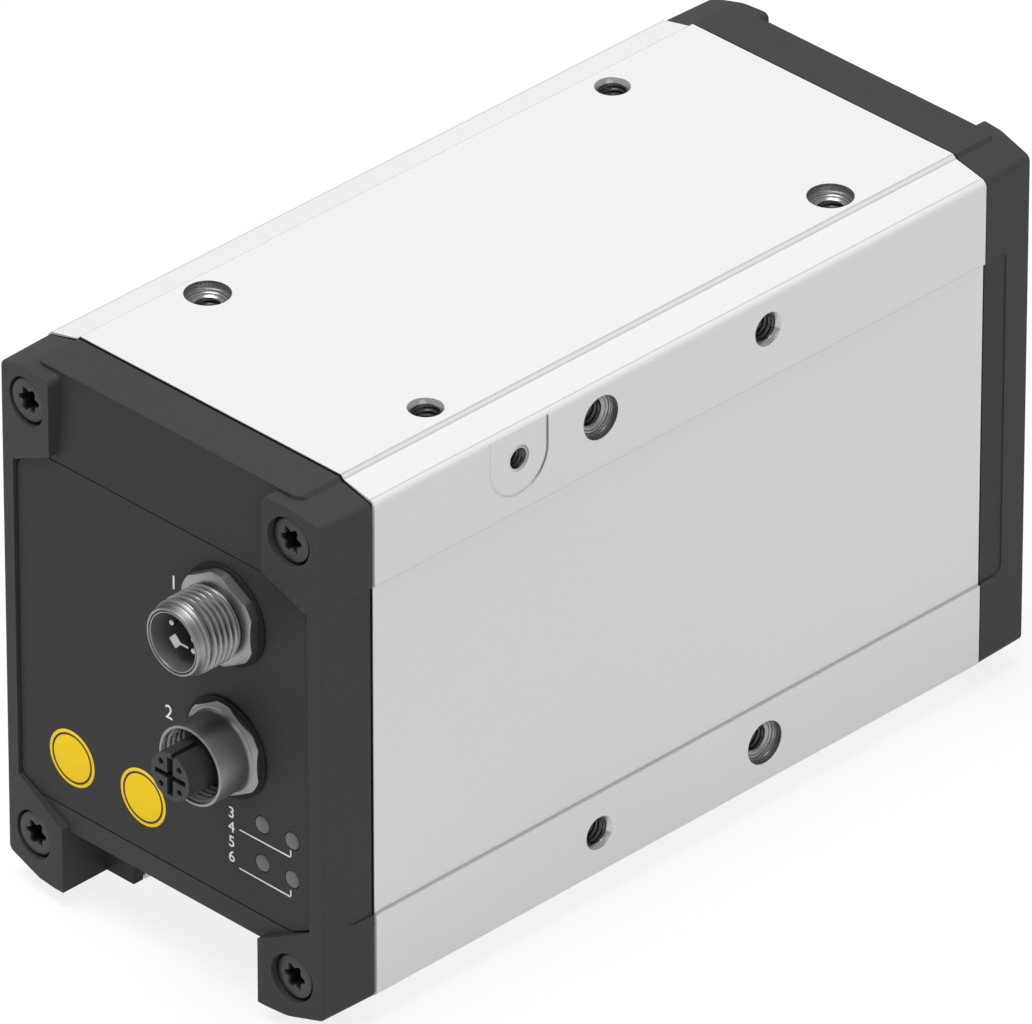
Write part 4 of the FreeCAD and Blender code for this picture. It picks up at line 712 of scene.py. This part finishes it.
def softened(node, name, width, reshape=None):
    """Copy of a CAD node with its sharp edges rounded, standing for the node."""
    source = frame["nodes"][node]
    bm = bmesh.new()
    bm.from_mesh(source.data)
    bmesh.ops.remove_doubles(bm, verts=bm.verts, dist=2e-6)
    if reshape:
        for vert in bm.verts:
            vert.co = reshape(vert.co)
    bmesh.ops.dissolve_limit(
        bm, angle_limit=math.radians(0.4), verts=bm.verts, edges=bm.edges, use_dissolve_boundaries=False
    )
    sharp = [e for e in bm.edges if len(e.link_faces) == 2 and e.calc_face_angle(0) > math.radians(24)]
    bmesh.ops.bevel(
        bm, geom=sharp, offset=width * MM, offset_type="OFFSET", segments=2, profile=0.5,
        affect="EDGES", clamp_overlap=True,
    )
    mesh = bpy.data.meshes.new(name)
    bm.to_mesh(mesh)
    bm.free()
    smooth(mesh, 32)
    slot = next(r["material_slot"] for r in frame["record"]["subparts"] if r["node"] == node)
    return seat(name, flat_between_rounds(mesh, name), source["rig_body"], slot, (node,))


def flat_between_rounds(mesh, name):
    """Copy of a mesh whose large faces keep their own normals and whose rounds take the turn."""
    holder = linked(name + "_holder", mesh)
    weights = holder.modifiers.new("weights", "WEIGHTED_NORMAL")
    weights.mode = "FACE_AREA"
    weights.weight = 100
    weights.keep_sharp = True
    return settled(holder, name)


def wider_cross(co):
    """Cross slot of the network connector's insert, moved out to the width it has at its mouth."""
    across, up = co.x / MM - CONNECTOR_X, co.z / MM - NETWORK_Z
    if abs(abs(across) - CROSS_HALF) < 0.01:
        across = math.copysign(CROSS_MOUTH[0], across)
    if abs(abs(up) - CROSS_HALF) < 0.01:
        up = math.copysign(CROSS_MOUTH[1], up)
    return mm(CONNECTOR_X + across, co.y / MM, NETWORK_Z + up)


# Geometry node tools


def tree_with(name, inputs):
    """Empty geometry tree with named inputs, and its input and output nodes."""
    tree = bpy.data.node_groups.new(name, "GeometryNodeTree")
    tree.interface.new_socket("Geometry", in_out="INPUT", socket_type="NodeSocketGeometry")
    for label, kind in inputs:
        tree.interface.new_socket(label, in_out="INPUT", socket_type=kind)
    tree.interface.new_socket("Geometry", in_out="OUTPUT", socket_type="NodeSocketGeometry")
    return tree, tree.nodes.new("NodeGroupInput"), tree.nodes.new("NodeGroupOutput")


def add_node(tree, kind, settings, values):
    """Add a node: its settings first, then values or links for its inputs."""
    node = tree.nodes.new(kind)
    for key, value in settings.items():
        setattr(node, key, value)
    for key, value in values.items():
        if isinstance(value, bpy.types.NodeSocket):
            tree.links.new(value, node.inputs[key])
        else:
            node.inputs[key].default_value = value
    return node


def spread_item(tree, given, points, turn):
    """Instances of the tree's item on points."""
    item = add_node(
        tree, "GeometryNodeObjectInfo", {"transform_space": "ORIGINAL"}, {"Object": given.outputs["Item"]}
    )
    return add_node(
        tree,
        "GeometryNodeInstanceOnPoints",
        {},
        {"Points": points, "Instance": item.outputs["Geometry"], "Rotation": turn},
    )


def end_tree(tree, result, geometry, finish):
    """Make instances real, give them their finish, and close the tree."""
    real = add_node(tree, "GeometryNodeRealizeInstances", {}, {"Geometry": geometry})
    painted = add_node(
        tree, "GeometryNodeSetMaterial", {}, {"Geometry": real.outputs[0], "Material": finish}
    )
    tree.links.new(painted.outputs[0], result.inputs[0])
    return tree


def scatter_tree():
    """An item set on every vertex of the given points, turned one way."""
    tree, given, result = tree_with(
        "items_on_points",
        [("Item", "NodeSocketObject"), ("Turn", "NodeSocketRotation"), ("Finish", "NodeSocketMaterial")],
    )
    spread = spread_item(tree, given, given.outputs["Geometry"], given.outputs["Turn"])
    return end_tree(tree, result, spread.outputs[0], given.outputs["Finish"])


def ring_tree():
    """An item repeated round a circle about Z, facing outwards."""
    tree, given, result = tree_with(
        "items_on_circle",
        [
            ("Item", "NodeSocketObject"),
            ("Count", "NodeSocketInt"),
            ("Radius", "NodeSocketFloat"),
            ("Centre", "NodeSocketVector"),
            ("Finish", "NodeSocketMaterial"),
        ],
    )
    circle = add_node(
        tree,
        "GeometryNodeMeshCircle",
        {"fill_type": "NONE"},
        {"Vertices": given.outputs["Count"], "Radius": given.outputs["Radius"]},
    )
    place = add_node(tree, "GeometryNodeInputPosition", {}, {})
    outwards = add_node(
        tree, "FunctionNodeAlignRotationToVector", {"axis": "X"}, {"Vector": place.outputs[0]}
    )
    spread = spread_item(tree, given, circle.outputs[0], outwards.outputs[0])
    moved = add_node(
        tree,
        "GeometryNodeTransform",
        {},
        {"Geometry": spread.outputs[0], "Translation": given.outputs["Centre"]},
    )
    return end_tree(tree, result, moved.outputs[0], given.outputs["Finish"])


TREES = {}


def grow(name, tree, points, inputs, body, finish, replaced=(), angle=30.0):
    """Run a tree on a mesh of points and seat the result as a plain mesh."""
    base = bpy.data.meshes.new(name + "_points")
    base.from_pydata([tuple(mm(*p)) for p in points], [], [])
    holder = linked(name + "_holder", base)
    modifier = holder.modifiers.new("grow", "NODES")
    modifier.node_group = TREES[tree]
    values = dict(inputs, Finish=FINISHES[finish])
    for item in modifier.node_group.interface.items_tree:
        if item.item_type == "SOCKET" and item.in_out == "INPUT" and item.name in values:
            modifier[item.identifier] = values[item.name]
    mesh = settled(holder, name)
    if not mesh.polygons:
        raise RuntimeError(name + " came out empty")
    bm = bmesh.new()
    bm.from_mesh(mesh)
    bmesh.ops.recalc_face_normals(bm, faces=bm.faces)
    bm.to_mesh(mesh)
    bm.free()
    smooth(mesh, angle)
    return seat(name, mesh, body, finish, replaced)


def pattern(name, bm, angle=30.0):
    """Object that a tree repeats; it isn't part of the scene itself."""
    return bpy.data.objects.new(name, smooth_mesh(name, bm, angle))


def scatter(name, bm, spots, out, body, finish, replaced=(), angle=30.0):
    """One piece made of an item on every spot, its height turned outwards."""
    turn = Vector(out).to_track_quat("Z", "Y").to_euler()
    inputs = {"Item": pattern(name + "_form", bm, angle), "Turn": turn}
    return grow(name, "scatter", spots, inputs, body, finish, replaced, angle)


# Operators, one for each group of pieces


class GRIPPER_OT_finishes(bpy.types.Operator):
    """Give every CAD node its finish and round the edges of the larger parts"""

    bl_idname = "gripper.finishes"
    bl_label = "Finishes and rounded edges"

    # Width of the rounded edges; None takes the settings' edge round
    rounded = {
        "housing": 0.1,
        "front_cap": None,
        "rear_cap": None,
        "connector_panel": 0.28,
        "com_connector_insert": 0.1,
        "right_guide_rail": 0.2,
        "left_guide_rail": 0.2,
        "front_jaw": 0.3,
        "rear_jaw": 0.3,
        "drive_plate": 0.25,
        "motor_can": 0.5,
        "motor_flange": 0.2,
        "power_connector_seal": 0.12,
        "com_connector_seal": 0.12,
    }

    def execute(self, context):
        settings = context.scene.gripper_finish
        make_finishes(settings)
        TREES.update(scatter=scatter_tree(), ring=ring_tree())
        for row in frame["record"]["subparts"]:
            mesh = frame["nodes"][row["node"]].data
            mesh.materials.clear()
            finish = "gasket_rubber" if "gasket" in row["node"] else row["material_slot"]
            mesh.materials.append(FINISHES[finish])
        for node, width in self.rounded.items():
            if width is None:
                width = settings.edge_round / MM
            reshape = wider_cross if node == "com_connector_insert" else None
            softened(node, node + "_rounded", width, reshape)
        return {"FINISHED"}


class GRIPPER_OT_power_connector(bpy.types.Operator):
    """Threaded shell, insert and pins of the power connector"""

    bl_idname = "gripper.power_connector"
    bl_label = "Power connector"

    def execute(self, context):
        sizes = context.scene.gripper_connectors
        crest, root, pitch = sizes.crest / MM, sizes.root / MM, sizes.pitch / MM
        rings = flange_rings(6.75, 2.3) + [(6.7, 2.3), (5.7, 2.3)]
        rings += [(root, 2.35)] + thread_turns(2.4, 8.5, crest, root, pitch)
        rings += [(root, 8.55), (5.74, 8.68), (5.8, 8.78), (5.76, 8.88), (5.33, 9.26), (5.28, 9.36)]
        rings += [(5.28, 10.3), (5.22, 10.52), (5.08, 10.65), (4.98, 10.65), (4.88, 10.56), (4.86, 10.4)]
        rings += [(4.85, 2.38), (0.2, 2.38)]
        bm = bmesh.new()
        turned(bm, rings, on_panel(CONNECTOR_X, POWER_Z), steps=144)
        seat("power_shell", smooth_mesh("power_shell", bm), "base", "threaded_metal",
             ["power_connector_shell"])

        cup = [(0.3, 2.4), (4.7, 2.4), (4.75, 2.46), (4.75, 10.4), (4.68, 10.53), (4.6, 10.55)]
        cup += [(4.5, 10.5), (4.45, 10.36), (4.42, 3.7), (4.25, 3.3), (3.9, 3.16), (0.3, 3.15)]
        bm = bmesh.new()
        turned(bm, cup, on_panel(CONNECTOR_X, POWER_Z))
        seat("power_carrier", smooth_mesh("power_carrier", bm), "base", "carrier_plastic",
             ["power_connector_insert"])
        softened("power_connector_contacts", "power_contacts", 0.05)
        return {"FINISHED"}


class GRIPPER_OT_network_connector(bpy.types.Operator):
    """Sleeve with its inner thread, and the contacts in the socket block"""

    bl_idname = "gripper.network_connector"
    bl_label = "Network connector"

    def execute(self, context):
        pitch = context.scene.gripper_connectors.pitch / MM
        rings = flange_rings(6.85, 1.15) + [(6.85, 1.15)]
        rings += [(6.7, 1.35), (6.52, 1.42), (6.42, 1.6), (6.3, 1.8), (6.27, 2.1)]
        rings += [(6.27, 7.2), (6.2, 7.42), (6.05, 7.5), (5.9, 7.5), (5.78, 7.42)]
        rings += thread_turns(7.3, 1.7, 5.42, 5.8, pitch)
        rings += [(5.8, 1.6), (5.6, 1.5), (0.2, 1.5)]
        bm = bmesh.new()
        turned(bm, rings, on_panel(CONNECTOR_X, NETWORK_Z), steps=144)
        seat("network_sleeve", smooth_mesh("network_sleeve", bm), "base", "connector_metal",
             ["com_connector_shell"])

        bm = bmesh.new()
        turned(bm, [(0.46, 0.0), (0.46, 3.0), (0.3, 3.0), (0.28, 0.4), (0.02, 0.4)], loose, steps=20)
        spots = four_spots(CONNECTOR_X, PANEL_Y - CONTACT_DEPTH, NETWORK_Z, CONTACT_PITCH, CONTACT_PITCH)
        scatter("network_contacts", bm, spots, (0, -1, 0), "base", "contact_brass")
        return {"FINISHED"}


class GRIPPER_OT_cap_screws(bpy.types.Operator):
    """Star socket screws in both end caps"""

    bl_idname = "gripper.cap_screws"
    bl_label = "Cap screws"

    def execute(self, context):
        sizes = context.scene.gripper_fasteners
        head = sizes.head_radius / MM
        point = sizes.star_radius / MM
        lobe = 0.34

        def star(angle):
            return point - lobe + lobe * math.cos(6 * angle)

        def star_rim(angle):
            return star(angle) + 0.1

        def star_floor(angle):
            return star(angle) * 0.94

        rings = [(0.2, -21.1), (1.6, -21.1), (2.0, -20.7), (2.0, -4.0), (head, -4.0)]
        rings += [(head, -0.35), (head - 0.12, -0.12), (head - 0.35, 0.0), (2.32, 0.0)]
        rings += [(star_rim, -0.04), (star, -0.18), (star_floor, -2.9), (0.1, -3.3)]
        for end, way in (("front", -1), ("rear", 1)):
            bm = bmesh.new()
            turned(bm, rings, loose, steps=72)
            spots = four_spots(0, way * CAP_SCREW_Y, CAP_SCREW_MIDDLE_Z, *CAP_SCREW_SPREAD)
            scatter(end + "_cap_screws", bm, spots, (0, way, 0), "base", "screw_steel",
                    ["%s_cap_screw_%d" % (end, n) for n in range(1, 5)])
        return {"FINISHED"}


class GRIPPER_OT_hole_threads(bpy.types.Operator):
    """Tapped threads in the mounting, earth and finger holes, and machined liners in their mouths"""

    bl_idname = "gripper.hole_threads"
    bl_label = "Threads in the holes"

    # Way out of each mounting face, its holes, and the place of a point some depth under it
    faces = {
        "top": ((0, 0, 1), TOP_HOLES, lambda u, v, deep: (u, v, -deep)),
        "right": ((1, 0, 0), SIDE_HOLES, lambda u, v, deep: (HALF_WIDTH - deep, u, v)),
        "left": ((-1, 0, 0), SIDE_HOLES, lambda u, v, deep: (deep - HALF_WIDTH, u, v)),
    }
    # Sections of (radius, height) against the wall of each kind of hole
    centring = [
        (3.49, -0.03), (3.47, -0.02), (3.46, -1.05), (3.36, -1.2), (3.12, -1.22), (3.0, -1.34),
        (2.98, -1.5), (2.78, -1.54), (2.66, -1.62), (2.62, -1.74), (2.42, -1.78), (2.12, -1.97),
        (2.08, -2.2), (2.11, -2.2), (2.14, -2.0), (3.49, -1.99),
    ]
    lead_in = [(2.73, -0.12), (2.66, -0.03), (2.05, -0.64), (2.03, -0.75), (2.08, -0.78), (2.14, -0.7)]

    def execute(self, context):
        ridge = context.scene.gripper_fasteners.ridge / MM
        for side, (out, holes, place) in self.faces.items():
            spots = [place(*hole, deep) for hole, deep in zip(holes, THREAD_STARTS)]
            self.tap(side + "_threads", "base", spots, out, MOUNT_THREAD, ridge, "housing_metal")
        spots = [(HALF_WIDTH - 0.25, *EARTH_HOLE)]
        self.tap("earth_threads", "base", spots, (1, 0, 0), EARTH_THREAD, ridge, "housing_metal")
        for end, way in (("front", -1), ("rear", 1)):
            spots = [(0, way * y, FINGER_FACE_Z) for y in FINGER_HOLES]
            self.tap(end + "_jaw_threads", end + "_slide", spots, (0, 0, -1), FINGER_THREAD, ridge,
                     "jaw_steel")

        for side, (out, holes, place) in self.faces.items():
            spots = [place(*hole, 0) for hole in holes]
            for kind, section, places, finish in (
                ("centring", self.centring, spots[:2], "bore_metal"),
                ("lead_in", self.lead_in, spots[2:], "mouth_metal"),
            ):
                bm = bmesh.new()
                band(bm, section, loose, steps=64)
                scatter("%s_%s_liners" % (side, kind), bm, places, out, "base", finish,
                        angle=40)
        return {"FINISHED"}

    @staticmethod
    def tap(name, body, spots, out, thread, ridge, slot):
        """Threaded wall with a floor, down from each spot."""
        radius, pitch, depth = thread
        wall, core = radius - 0.02, radius - 0.08
        rings = [(0.2, -depth), (wall, -depth), (wall, -0.1), (core, 0.0)]
        rings += thread_turns(-0.05, 0.9 - depth, core - ridge, core, pitch)
        rings += [(core - 0.2, 0.6 - depth), (0.2, 0.5 - depth)]
        bm = bmesh.new()
        turned(bm, rings, loose, steps=40)
        scatter(name, bm, spots, out, body, "thread_steel", angle=50)


class GRIPPER_OT_status_lights(bpy.types.Operator):
    """Light windows with a low dome, flush in the panel"""

    bl_idname = "gripper.status_lights"
    bl_label = "Status lights"

    def execute(self, context):
        rings = [(0.2, -7.2), (LIGHT_RADIUS, -7.2), (1.35, -7.1), (1.35, -0.05)]
        for step in range(8):
            angle = step * math.pi / 16
            rings.append((LIGHT_RADIUS * math.cos(angle), 0.02 + 0.16 * math.sin(angle)))
        bm = bmesh.new()
        turned(bm, rings, loose, steps=48)
        spots = four_spots(LIGHT_MIDDLE[0], PANEL_Y, LIGHT_MIDDLE[1], *LIGHT_PITCH)
        scatter("status_windows", bm, spots, (0, -1, 0), "base", "light_plastic",
                ["status_light_%d" % n for n in range(1, 5)])
        return {"FINISHED"}


class GRIPPER_OT_panel_marks(bpy.types.Operator):
    """Plain numbers, bracket lines and round yellow marks on the panel"""

    bl_idname = "gripper.panel_marks"
    bl_label = "Panel marks"

    # Digits as (text, x, z, height) and the corners of the bracket lines
    digits = (
        ("1", 1.5, -25.3, 2.3), ("2", 0.2, -47.6, 2.3), ("3", 12.9, -58.6, 1.9),
        ("4", 12.9, -61.0, 1.9), ("5", 12.9, -63.5, 1.9), ("6", 12.9, -66.0, 1.9),
    )
    brackets = (
        ((15.3, -59.9), (25.55, -59.85), (25.55, -58.75)),
        ((15.2, -66.45), (25.5, -66.55), (25.5, -65.5)),
    )

    def execute(self, context):
        bm = bmesh.new()
        for text, x, z, height in self.digits:
            curve = bpy.data.curves.new("digit", "FONT")
            curve.body = text
            curve.size = height * DIGIT_SCALE * MM
            curve.offset = 0.00002
            flat = settled(linked("digit", curve), "digit")
            flat.transform(Matrix.Rotation(math.pi / 2, 4, "X"))
            flat.transform(Matrix.Translation(mm(x, PANEL_Y - 0.03, z)))
            bm.from_mesh(flat)
        bmesh.ops.remove_doubles(bm, verts=bm.verts, dist=1e-7)
        thicken(bm, mm(0, 0.06, 0))
        for corners in self.brackets:
            self.stroke(bm, corners, STROKE_WIDTH)
        seat("panel_print", smooth_mesh("panel_print", bm), "base", "white_print")

        disc = [(0.5, -0.05), (4.6, -0.05), (4.6, 0.05), (4.55, 0.07), (0.5, 0.07)]
        ring = [(3.75, 0.0), (3.75, 0.085), (4.1, 0.085), (4.1, 0.0)]
        for number, place in enumerate(MARK_PLACES, 1):
            bm = bmesh.new()
            turned(bm, disc, on_panel(*place), steps=72)
            seat("yellow_mark_%d" % number, smooth_mesh("yellow_mark", bm), "base", "yellow_mark")
            bm = bmesh.new()
            band(bm, ring, on_panel(*place))
            seat("mark_ring_%d" % number, smooth_mesh("mark_ring", bm), "base", "chip_plastic")
        return {"FINISHED"}

    @staticmethod
    def stroke(bm, corners, width):
        """Flat printed line through points on the panel."""
        for start, end in zip(corners, corners[1:]):
            start, end = Vector(start), Vector(end)
            along = (end - start).normalized() * width / 2
            side = Vector((-along.y, along.x))
            outline = [start - along + side, end + along + side, end + along - side, start - along - side]
            front = [bm.verts.new(mm(x, PANEL_Y - 0.04, z)) for x, z in outline]
            back = [bm.verts.new(mm(x, PANEL_Y + 0.02, z)) for x, z in outline]
            bm.faces.new(front)
            bm.faces.new(back[::-1])
            close_loops(bm, [front, back])


class GRIPPER_OT_drive_details(bpy.types.Operator):
    """Bearing balls, motor coils and the components on both boards"""

    bl_idname = "gripper.drive_details"
    bl_label = "Drive details"

    # Components as (middle, middle, size, size, height) on their board; the flat ones behind the
    # panel are pressed to a share of their height
    control_parts = (
        (-8, -20, 10, 10, 1.4), (9, -18, 6, 8, 1.2), (-10, -38, 7, 7, 1.1), (5, -36, 9, 5, 1.6),
        (14, -44, 4, 9, 5.0), (-16, -46, 5, 6, 4.0), (0, -28, 3, 2, 1.0), (16, -30, 3, 5, 2.0),
        (-16, -28, 2.4, 2.4, 1.0), (-4, -46, 8, 4, 3.4), (-17, -12, 4, 6, 2.2), (14, -8, 6, 4, 1.8),
    )
    interface_parts = (
        (-12, -30, 9, 9, 1.3), (-14, -45, 7, 5, 1.3), (-2, -56, 6, 6, 1.2), (-20, -58, 4, 4, 1.0),
        (-18, -21, 5, 3, 1.4), (4, -62, 5, 2, 1.2),
    )

    def execute(self, context):
        bm = bmesh.new()
        bmesh.ops.create_icosphere(bm, subdivisions=2, radius=BALL_RADIUS * MM)
        ball = pattern("bearing_ball", bm, 60)
        for name, z in BALLS:
            inputs = {"Item": ball, "Count": BALL_COUNT, "Radius": BALL_CIRCLE * MM, "Centre": mm(0, 0, z)}
            grow(name, "ring", [(0, 0, z)], inputs, "base", "bearing_steel", angle=60)

        bm = bmesh.new()
        bmesh.ops.create_cube(bm, size=1.0)
        bmesh.ops.scale(bm, vec=mm(*COIL_SIZE), verts=bm.verts)
        bmesh.ops.bevel(
            bm, geom=bm.edges[:], offset=COIL_ROUND * MM, segments=3, affect="EDGES", profile=0.5
        )
        inputs = {"Item": pattern("coil_head", bm, 40), "Count": COIL_COUNT, "Radius": COIL_CIRCLE * MM,
                  "Centre": mm(*MOTOR_MIDDLE)}
        grow("motor_coils", "ring", [MOTOR_MIDDLE], inputs, "base", "copper", angle=40)

        self.components("control_components", lambda x, y, h: mm(x, y, CONTROL_BOARD_Z + h),
                        self.control_parts)
        self.components("interface_components",
                        lambda x, z, h: mm(x, INTERFACE_BOARD_Y + h * INTERFACE_PRESS, z),
                        self.interface_parts)
        return {"FINISHED"}

    @staticmethod
    def components(name, place, boxes):
        """Chips and plugs as boxes with bevelled edges, standing on a board."""
        bm = bmesh.new()
        for u, v, wide, deep, high in boxes:
            part = bmesh.new()
            bmesh.ops.create_cube(part, size=1.0)
            for vert in part.verts:
                vert.co = place(u + vert.co.x * wide, v + vert.co.y * deep, (vert.co.z + 0.5) * high)
            bmesh.ops.bevel(
                part, geom=part.edges[:], offset=CHIP_ROUND * MM, segments=2, affect="EDGES", profile=0.5
            )
            mesh = bpy.data.meshes.new("chip")
            part.to_mesh(mesh)
            part.free()
            bm.from_mesh(mesh)
        seat(name, smooth_mesh(name, bm), "base", "chip_plastic")


class GRIPPER_OT_stage(bpy.types.Operator):
    """Floor, lights, world and the camera"""

    bl_idname = "gripper.stage"
    bl_label = "Stage"

    def execute(self, context):
        settings = context.scene.gripper_stage
        bm = bmesh.new()
        bmesh.ops.create_grid(bm, x_segments=2, y_segments=2, size=6.0)
        bmesh.ops.translate(bm, verts=bm.verts, vec=Vector((0, 0, CAD_BOX[0].z - 0.00002)))
        mesh = bpy.data.meshes.new("floor")
        bm.to_mesh(mesh)
        bm.free()
        mesh.materials.append(self.floor_finish())
        linked("floor", mesh)

        world = bpy.data.worlds.new("soft_sky")
        world.use_nodes = True
        background = world.node_tree.nodes["Background"]
        background.inputs["Color"].default_value = (1, 1, 1, 1)
        background.inputs["Strength"].default_value = settings.sky
        context.scene.world = world

        for name, energy, way, spread in (
            ("key_from_above", settings.key, (0.10, 0.16, -1.0), 40.0),
            ("fill_from_right", settings.fill, (-0.85, 0.30, -0.35), 50.0),
        ):
            light = bpy.data.lights.new(name, "SUN")
            light.energy = energy
            light.angle = math.radians(spread)
            self.aim(linked(name, light), way)

        camera = linked("camera", bpy.data.cameras.new("camera"))
        camera.data.sensor_width = 36.0
        camera.data.lens = CAMERA_LENS
        camera.data.clip_start = 0.1
        camera.data.clip_end = 50.0
        camera.location = mm(*CAMERA_PLACE)
        self.aim(camera, CAMERA_WAY)
        context.scene.camera = camera
        context.scene.view_settings.view_transform = "Standard"
        return {"FINISHED"}

    @staticmethod
    def aim(item, way):
        """Turn a light or the camera to look one way."""
        item.rotation_mode = "QUATERNION"
        item.rotation_quaternion = Vector(way).to_track_quat("-Z", "Y")

    @staticmethod
    def floor_finish():
        """White to the camera with a faint shadow; pale grey to every other ray."""
        paint = Paint("pale_floor")
        cloud = paint.noise(3.0, 2.0)
        ray = paint.add("ShaderNodeLightPath", {}, {})
        seen = ray("Is Camera Ray") + ray("Is Glossy Ray") + ray("Is Transmission Ray")
        matt = paint.add(
            "ShaderNodeBsdfPrincipled",
            {},
            {
                "Base Color": paint.shade((0.80, 0.80, 0.80), (0.82, 0.82, 0.82), cloud),
                "Roughness": 0.9,
                "Specular IOR Level": 0.0,
            },
        )
        white = paint.add("ShaderNodeEmission", {}, {"Color": (1.0, 1.0, 1.0), "Strength": 1.06})
        mixed = paint.add(
            "ShaderNodeMixShader",
            {},
            {0: seen.at_most(1.0) * 0.78, 1: matt("BSDF"), 2: white("Emission")},
        )
        paint.add("ShaderNodeOutputMaterial", {}, {"Surface": mixed("Shader")})
        return paint.material


class GRIPPER_PT_looks(bpy.types.Panel):
    """Buttons for every group of pieces"""

    bl_idname = "GRIPPER_PT_looks"
    bl_label = "Parallel gripper"
    bl_space_type = "VIEW_3D"
    bl_region_type = "UI"
    bl_category = "Gripper"

    def draw(self, context):
        layout = self.layout
        for operator in OPERATORS:
            layout.operator(operator.bl_idname)
        for group, kind in SETTINGS.items():
            box = layout.box()
            for name in kind.__annotations__:
                box.prop(getattr(context.scene, group), name)


OPERATORS = (
    GRIPPER_OT_finishes,
    GRIPPER_OT_power_connector,
    GRIPPER_OT_network_connector,
    GRIPPER_OT_cap_screws,
    GRIPPER_OT_hole_threads,
    GRIPPER_OT_status_lights,
    GRIPPER_OT_panel_marks,
    GRIPPER_OT_drive_details,
    GRIPPER_OT_stage,
)
SETTINGS = {
    "gripper_finish": FinishSettings,
    "gripper_connectors": ConnectorSettings,
    "gripper_fasteners": FastenerSettings,
    "gripper_stage": StageSettings,
}
CLASSES = tuple(SETTINGS.values()) + OPERATORS + (GRIPPER_PT_looks,)


def register():
    for item in CLASSES:
        bpy.utils.register_class(item)
    for group, kind in SETTINGS.items():
        setattr(bpy.types.Scene, group, bpy.props.PointerProperty(type=kind))


def unregister():
    for group in SETTINGS:
        delattr(bpy.types.Scene, group)
    for item in reversed(CLASSES):
        bpy.utils.unregister_class(item)


def main():
    register()
    for operator in OPERATORS:
        group, name = operator.bl_idname.split(".")
        getattr(getattr(bpy.ops, group), name)()


if __name__ == "__main__":
    main()
